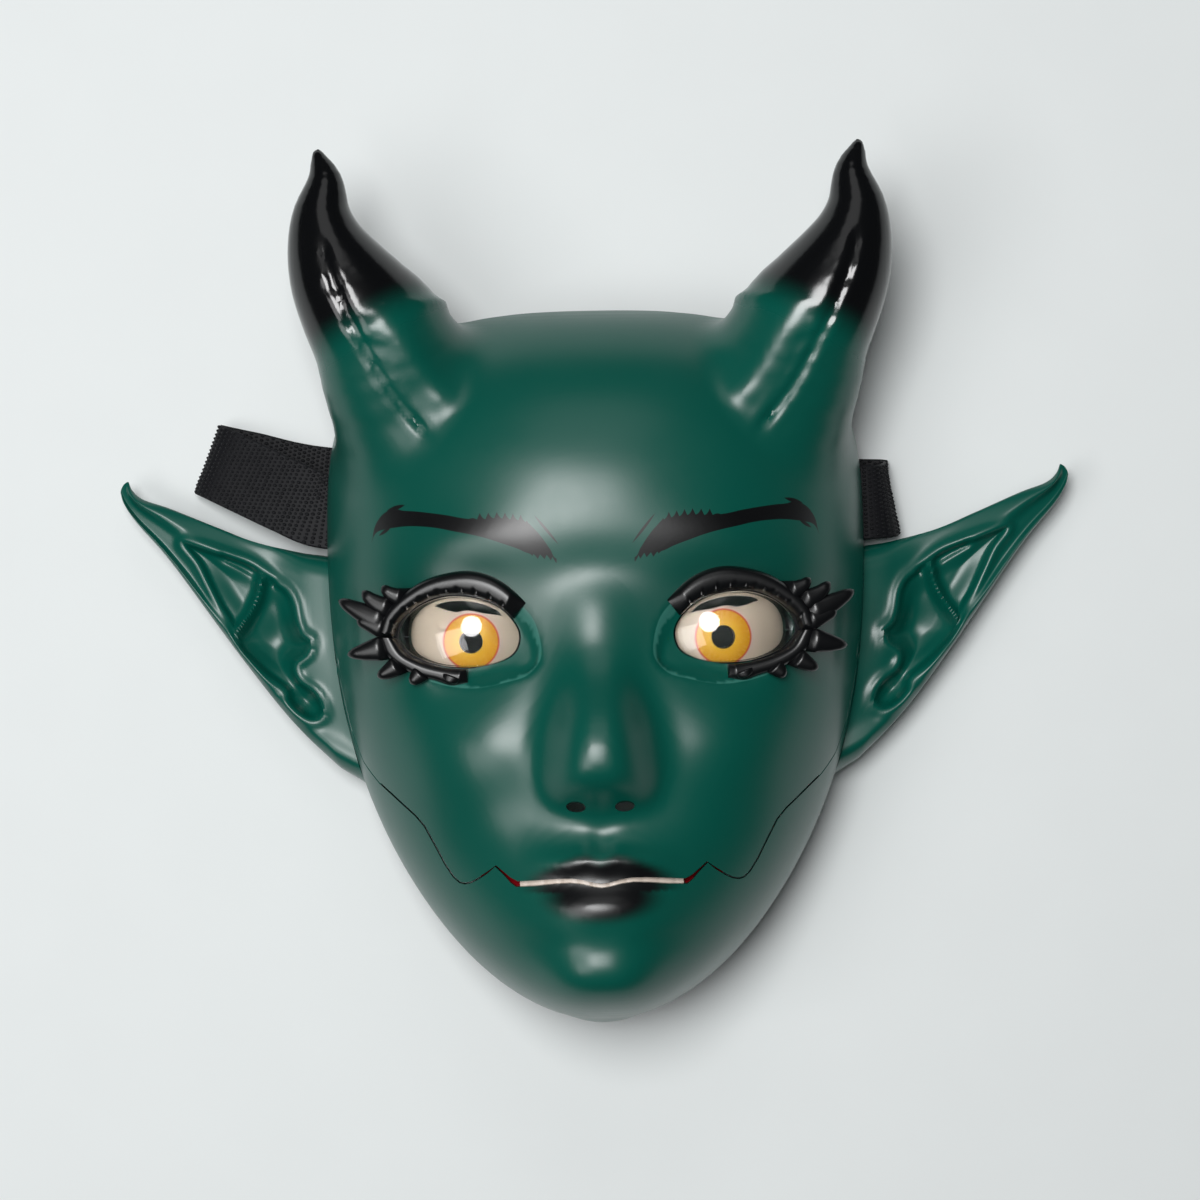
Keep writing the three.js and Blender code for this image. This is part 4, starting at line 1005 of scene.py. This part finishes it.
def browPaint(stroke):
    n, source, sink = shaderGroup("browPaint", [("Vector", "Vector", None)], [("Mask", "Float")])
    split = n.make("ShaderNodeSeparateXYZ", {0: source.outputs["Vector"]})
    x = n.product(n.calc("ABSOLUTE", split.outputs["X"]), 1000)
    y = n.calc("MULTIPLY_ADD", split.outputs["Y"], 1000, -frameShift)

    def edgeCurve(points):
        node = n.make("ShaderNodeFloatCurve", {"Value": n.calc("DIVIDE", x, browShape["reach"])})
        curve = node.mapping.curves[0]
        wanted = [(px / browShape["reach"], py / browShape["height"]) for px, py in points]
        wanted = [(0, wanted[0][1])] + wanted + [(1, wanted[-1][1])]
        while len(curve.points) < len(wanted):
            curve.points.new(0.5, 0.5)
        for point, place in zip(curve.points, wanted):
            point.location = place
            point.handle_type = "AUTO"
        node.mapping.update()
        return n.product(node.outputs["Value"], browShape["height"])

    def teethAlong(level, slant, pitch):  # saw teeth leaning with the hairs, 0 to 1 along each
        lean = n.calc("MULTIPLY_ADD", n.calc("SUBTRACT", y, level), slant, x)
        return n.calc("FRACT", n.calc("DIVIDE", lean, pitch))

    top, bottom = edgeCurve(browShape["top"]), edgeCurve(browShape["bottom"])
    tooth = n.calc("POWER", teethAlong(26, 0.45, browShape["toothPitch"]), 1.6)
    where = n.product(n.ramp(x, 20.5, 24), n.fall(x, 37, 40.5))
    top = n.calc("ADD", top, n.product(tooth, browShape["toothHeight"], where))
    toothLow = n.calc("SUBTRACT", 1, teethAlong(15, 0.5, browShape["lowPitch"]))
    bottom = n.calc("SUBTRACT", bottom, n.product(toothLow, browShape["lowHeight"], n.fall(x, 18.5, 21.5)))
    edges = [n.ramp(n.calc("SUBTRACT", a, b), -0.08, 0.12) for a, b in ((top, y), (y, bottom))]
    mask = n.product(n.product(*edges), n.product(n.ramp(x, 12.2, 12.6), n.fall(x, 72.9, 73.2)))
    for (ax, ay), (bx, by), size in browShape["strokes"]:
        one = n.make("ShaderNodeGroup", {"X": x, "Y": y, "Start X": ax, "Start Y": ay, "End X": bx,
                                         "End Y": by, "Width": size}, node_tree=stroke)
        mask = n.calc("MAXIMUM", mask, one.outputs["Mask"])
    n.feed(sink.inputs["Mask"], n.product(mask, n.ramp(split.outputs["Z"], 0.05, 0.056)))
    return n.tree


finishes = {
    "green": {"colour": (0.0, 0.078, 0.056, 1), "gloss": 0.32, "cloud": 0.12, "peel": 0.1},
    # eye bevel facets: rougher matte finish, their lighter green a painted sheen
    "sheenFacet": {"colour": (0.03, 0.17, 0.135, 1), "extraGloss": 0.1},
    "black": {"colour": (0.0025, 0.0028, 0.0034, 1), "gloss": 0.17},
    "lash": {"colour": (0.0025, 0.0028, 0.0034, 1), "gloss": 0.3},
    "teeth": {"colour": (0.78, 0.66, 0.57, 1), "gloss": 0.35},
    "red": {"colour": (0.3, 0.0, 0.005, 1), "gloss": 0.45},
    "cream": {"colour": (0.78, 0.68, 0.55, 1)},
    "webbing": {"gloss": 0.6, "dark": (0.001, 0.001, 0.0014, 1), "light": (0.009, 0.0095, 0.0125, 1)},
}
skinGroup = mouldedSkin()
browGroup = browPaint(hairStroke())


def newMaterial(name):
    material = bpy.data.materials.new(name)
    material.use_nodes = True
    n = Nodes(material.node_tree)
    shader = material.node_tree.nodes["Principled BSDF"]
    coordinates = n.add("ShaderNodeTexCoord").outputs["Object"]
    return material, n, shader, coordinates


def setInputs(shader, values):
    for name, value in values.items():
        shader.inputs[name].default_value = value


def skinned(n, shader, coordinates, colour, gloss, cloud=0.1, peel=0.1):
    skin = n.make("ShaderNodeGroup", {"Vector": coordinates, "Colour": colour, "Cloud": cloud,
                                      "Gloss": gloss, "Peel": peel}, node_tree=skinGroup)
    for given, taken in (("Colour", "Base Color"), ("Roughness", "Roughness"), ("Normal", "Normal")):
        n.feed(shader.inputs[taken], skin.outputs[given])


def greenMaterial(name, painted):  # painted: the face and jaw carry brushed black, liner, brows, painted shade above the upper lids and a painted sheen on the eye bevel facets
    material, n, shader, coordinates = newMaterial(name)
    green, black = finishes["green"], finishes["black"]
    colour, gloss = green["colour"], green["gloss"]
    if painted:
        outside = n.attribute("outside")
        brow = n.make("ShaderNodeGroup", {"Vector": coordinates}, node_tree=browGroup)
        brows = n.product(brow.outputs["Mask"], outside)
        liner = n.product(n.fall(n.attribute("linerGap"), -0.35, 0.35), outside)
        # lighter green on the eye bevel facets is a painted sheen; the facets are also rougher
        sheenFacet = n.product(n.fall(n.attribute("sheenFacetGap"), -0.35, 0.1), outside)
        # brushed black of horns and lips, painted shade above the upper lids, brows and liner
        mask = n.calc("MAXIMUM", n.calc("MAXIMUM", n.attribute("airbrushAndLidShade"), brows), liner)
        colour = n.blend(sheenFacet, green["colour"], finishes["sheenFacet"]["colour"])
        colour = n.blend(mask, colour, black["colour"])
        gloss = n.calc("MULTIPLY_ADD", n.attribute("polish"), black["gloss"] - green["gloss"], green["gloss"])
        gloss = n.calc("MULTIPLY_ADD", sheenFacet, finishes["sheenFacet"]["extraGloss"], gloss)
    skinned(n, shader, coordinates, colour, gloss, green["cloud"], green["peel"])
    setInputs(shader, {"IOR": 1.5})
    return material


def plainMaterial(name, finish, cloud=0.15, peel=0.1):
    material, n, shader, coordinates = newMaterial(name)
    skinned(n, shader, coordinates, finishes[finish]["colour"], finishes[finish]["gloss"], cloud, peel)
    return material


iris = {"inner": (0.93, 0.57, 0.03, 1), "outer": (0.84, 0.42, 0.015, 1), "streak": (0.95, 0.62, 0.12, 1),
        "ring": (0.72, 0.07, 0.03, 1), "halo": (0.78, 0.66, 0.56, 1), "pupil": (0.06, 0.055, 0.05, 1)}


def eyeMaterial():  # cream print with an amber iris, a thin red ring and fine streaks
    material, n, shader, coordinates = newMaterial("eyePrint")
    split = n.make("ShaderNodeSeparateXYZ", {0: coordinates})
    u = n.calc("SUBTRACT", n.product(n.calc("ABSOLUTE", split.outputs["X"]), 1000), eye["x"])
    v = n.calc("SUBTRACT", n.product(split.outputs["Y"], 1000), eye["y"] + frameShift)
    r = n.length(u, v)
    streak = n.make("ShaderNodeCombineXYZ", {"X": n.product(n.calc("ARCTAN2", v, u), 9),
                                             "Y": n.product(r, 0.35)})
    streaks = n.noise(streak.outputs["Vector"], 1.6, 3, 0.6)
    amber = n.blend(n.ramp(r, 3.6, 8.8), iris["inner"], iris["outer"])
    amber = n.blend(n.product(n.ramp(streaks, 0.42, 0.7), 0.5), amber, iris["streak"])
    ring = n.product(n.ramp(r, 8.55, 8.85), n.fall(r, 9.1, 9.5))
    cream = n.blend(n.ramp(r, 9.2, 12), iris["halo"], finishes["cream"]["colour"])
    colour = n.blend(n.ramp(r, 8.8, 9.1), amber, cream)
    colour = n.blend(n.product(ring, 0.8), colour, iris["ring"])
    colour = n.blend(n.fall(r, 3.7, 4.0), colour, iris["pupil"])
    colour = n.blend(n.ramp(n.attribute("almondGap"), -0.15, 0.05), colour, finishes["black"]["colour"])
    skinned(n, shader, coordinates, colour, 0.35, 0.06, 0.05)
    return material


def lensMaterial():
    material, n, shader, coordinates = newMaterial("clearLens")
    skinned(n, shader, coordinates, (1, 1, 1, 1), 0.06, 0.0, 0.02)
    setInputs(shader, {"Transmission Weight": 1.0, "IOR": 1.46, "Specular IOR Level": 0.6})
    return material


def webbingMaterial():
    material, n, shader, coordinates = newMaterial("blackWebbing")
    fibre = n.noise(coordinates, 2600, 3, 0.7)
    colour = n.blend(fibre, finishes["webbing"]["dark"], finishes["webbing"]["light"])
    skinned(n, shader, coordinates, colour, finishes["webbing"]["gloss"], 0.2, 0.5)
    setInputs(shader, {"Specular IOR Level": 0.22, "Sheen Weight": 0.04, "Sheen Roughness": 0.4})
    return material


greenPainted, greenPlain = greenMaterial("greenPainted", True), greenMaterial("greenPlain", False)
glossBlack = plainMaterial("glossBlack", "lash", 0.3, 0.15)
teethCream = plainMaterial("teethCream", "teeth", 0.2)
mouthRed = plainMaterial("mouthRed", "red", 0.3)
eyePrint, clearLens, blackWebbing = eyeMaterial(), lensMaterial(), webbingMaterial()
print("materials made")

# painted areas, with the painted shade above the upper lids and the painted-sheen eye facets, kept on the
# face and jaw as attributes
lipTop = [(0, -82.4), (2, -81.6), (4.6, -80.3), (8, -80.9), (12, -82.4), (17, -84.6), (22, -86.6),
          (27, -88.6)]
paint = {"step": 0.3, "hornX": 79, "hornY": 89.6, "hornLean": 0.52, "hornsFrom": 60, "front": 50,
         "blackEdge": (-8, 7), "polishEdge": (-16, 2), "lowerLip": (20, -93.6, 8.4), "shadow": 0.42,
         "linerInner": 0.7, "linerOuter": 3.4, "lipPolish": 0.1}


def placesOf(mesh):  # vertex places in face millimetres
    places = np.empty(len(mesh.vertices) * 3, np.float32)
    mesh.vertices.foreach_get("co", places)
    return (places.reshape(-1, 3) * 1000 - (0, frameShift, 0)).T


def setAttribute(mesh, name, values):
    layer = mesh.attributes.new(name, "FLOAT", "POINT")
    layer.data.foreach_set("value", np.asarray(values, np.float32))


def paintAttributes(obj):
    mesh = obj.data
    x, y, z = placesOf(mesh)
    ax = np.abs(x)
    slopes = []
    for ex, ey, ez in (np.eye(3) * paint["step"]).tolist():
        rise = headField(x + ex, y + ey, z + ez, 1) - headField(x - ex, y - ey, z - ez, 1)
        slopes.append(rise / (2 * paint["step"]))
    d = headField(x, y, z, 1) / np.maximum(np.sqrt(slopes[2] ** 2 + slopes[0] ** 2 + slopes[1] ** 2), 1e-3)
    onHorns = y > paint["hornsFrom"]
    outside = (d > -1.6) | (hornDistance(x, y, z) > -1.2) & onHorns
    reach = y - paint["hornY"] - (paint["hornX"] - ax) * paint["hornLean"]
    horn = smooth(*paint["blackEdge"], reach) * onHorns
    upperLip = 1 - smooth(-2.2, 1.8, y - np.interp(ax, *zip(*lipTop)))
    upperLip *= (1 - smooth(15, 28, ax)) * (y > -92)
    lipWide, lipY, lipTall = paint["lowerLip"]
    lowerRing = np.hypot(x / lipWide, (y - lipY) / lipTall)
    lowerLip = (1 - smooth(0.55, 1.12, lowerRing)) * (y < -88)
    lips = np.maximum(upperLip, lowerLip) * (y < -78) * (z > paint["front"])
    u, v = eyeCoordinates(x, y)
    # painted shade: darker green in the sockets above the upper lids, joined with the brushed black of horns
    # and lips
    shadow = paint["shadow"] * bump(np.hypot((u - 4) / 24, (v - 13) / 15), 1) * (z > paint["front"])
    airbrushAndLidShade = np.clip(np.maximum(np.maximum(horn, lips), shadow), 0, 1) * outside
    corner = loopDistance(u, v, bevelInner)
    linerWidth = mix(paint["linerInner"], paint["linerOuter"], smooth(0, 3, u))
    liner = np.where(z > paint["front"], loopDistance(u, v, almond) - linerWidth, 9)
    # bevel facet around each eye, given a rougher finish and a painted sheen
    sheenFacet = np.where(z > paint["front"], np.maximum(loopDistance(u, v, bevelOuter), 0.1 - corner), 9)
    polish = smooth(*paint["polishEdge"], reach) * onHorns + lips * paint["lipPolish"]
    polish = np.clip(polish, 0, 1) * outside
    for name, values in (("airbrushAndLidShade", airbrushAndLidShade), ("linerGap", liner), ("sheenFacetGap", sheenFacet),
                         ("outside", outside), ("polish", polish)):
        setAttribute(mesh, name, values)


for obj in (face, jaw):
    paintAttributes(obj)
for side in sides:
    x, y, z = placesOf(eyes[side].data)
    u, v = eyeCoordinates(x, y)
    setAttribute(eyes[side].data, "almondGap", loopDistance(u, v, almond))


# finishing, naming and riding
def finish(obj, name, material, slot, body, replaced=(), angle=32):
    obj.name = obj.data.name = name
    obj.data.materials.clear()
    obj.data.materials.append(material)
    obj.data.polygons.foreach_set("material_index", [0] * len(obj.data.polygons))
    obj.data.shade_smooth()
    obj.data.set_sharp_from_angle(angle=math.radians(angle))
    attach(obj, body)
    if replaced:
        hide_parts(*replaced)


finish(face, "face_plastic", greenPainted, "green_shell", "face", ["face_shell"])
finish(jaw, "jaw_plastic", greenPainted, "green_shell", "jaw", ["jaw"])
for side in sides:
    finish(ears[side], side + "_ear_plastic", greenPlain, "green_shell", "face", [side + "_ear"], 50)
    finish(eyes[side], side + "_eye_print", eyePrint, "eye_print", "face", [side + "_eye"])
    finish(lenses[side], side + "_clear_lens", clearLens, "clear_lens", "face", [side + "_lens"], 40)
    for part in ("upper", "lower"):
        name = side + "_" + part + "_lash"
        finish(lashes[side][part], name + "es", glossBlack, "black_gloss", "face", [name], 60)
finish(teeth, "teeth_row", teethCream, "teeth_cream", "face", ["teeth"])
finish(lining, "red_lining", mouthRed, "mouth_red", "face", ["mouth_lining"])
finish(ribbon, "strap_ribbon", blackWebbing, "webbing", "face", ["strap"])
grow(cloud, yarnTree(blackWebbing), strap["yarn"])
finish(cloud, "strap_yarns", blackWebbing, "webbing", "face", ["strap"], 180)
print("strap yarns:", len(cloud.data.polygons), "faces")

# floor, light and camera
studio = {"floor": (0.8, 0.835, 0.835, 1), "mottle": 0.97, "world": 0.04, "sky": (0.92, 0.97, 1, 1)}
softboxes = {  # place, width, height, watts, shape; all of them face the mask
    "key": ((-0.22, 0.28, 1.75), 0.7, 0.7, 22, "DISK"),
    "fill": ((-0.76, -0.22, 1.36), 0.72, 0.86, 7, "RECTANGLE"),
    "top": ((0, 1.15, 1.2), 0.9, 0.7, 1.6, "DISK"),
}
aim = Vector((0, 0, 0.05))
bpy.ops.mesh.primitive_plane_add(size=6, location=(0, 0, 0))
floor = bpy.context.object
floor.name = "studio_floor"
floorMaterial, n, shader, coordinates = newMaterial("studioFloor")
darker = tuple(c * studio["mottle"] for c in studio["floor"][:3]) + (1,)
n.feed(shader.inputs["Base Color"], n.blend(n.noise(coordinates, 30, 4), studio["floor"], darker))
setInputs(shader, {"Roughness": 0.75})
floor.data.materials.append(floorMaterial)

world = bpy.data.worlds.new("studioWorld")
world.use_nodes = True
setInputs(world.node_tree.nodes["Background"], {"Color": studio["sky"], "Strength": studio["world"]})
scene.world = world

for name, (place, width, height, power, shape) in softboxes.items():
    data = bpy.data.lights.new(name + "Softbox", "AREA")
    data.shape = shape
    data.size, data.size_y, data.energy = width, height, power
    lamp = bpy.data.objects.new(name + "Softbox", data)
    lamp.location = place
    lamp.rotation_euler = (aim - Vector(place)).to_track_quat("-Z", "Y").to_euler()
    scene.collection.objects.link(lamp)

view = {"height": 1.143, "sideways": 0.00114, "roll": -1.1, "lens": 100, "sensor": 36, "near": 0.05}
camera = bpy.data.objects.new("photoCamera", bpy.data.cameras.new("photoCamera"))
camera.data.lens = view["lens"]
camera.data.sensor_width, camera.data.clip_start = view["sensor"], view["near"]
camera.location = (view["sideways"], frameShift / 1000, view["height"])
camera.rotation_euler = (0, 0, math.radians(view["roll"]))
scene.collection.objects.link(camera)
scene.camera = camera
scene.view_settings.view_transform = "Standard"
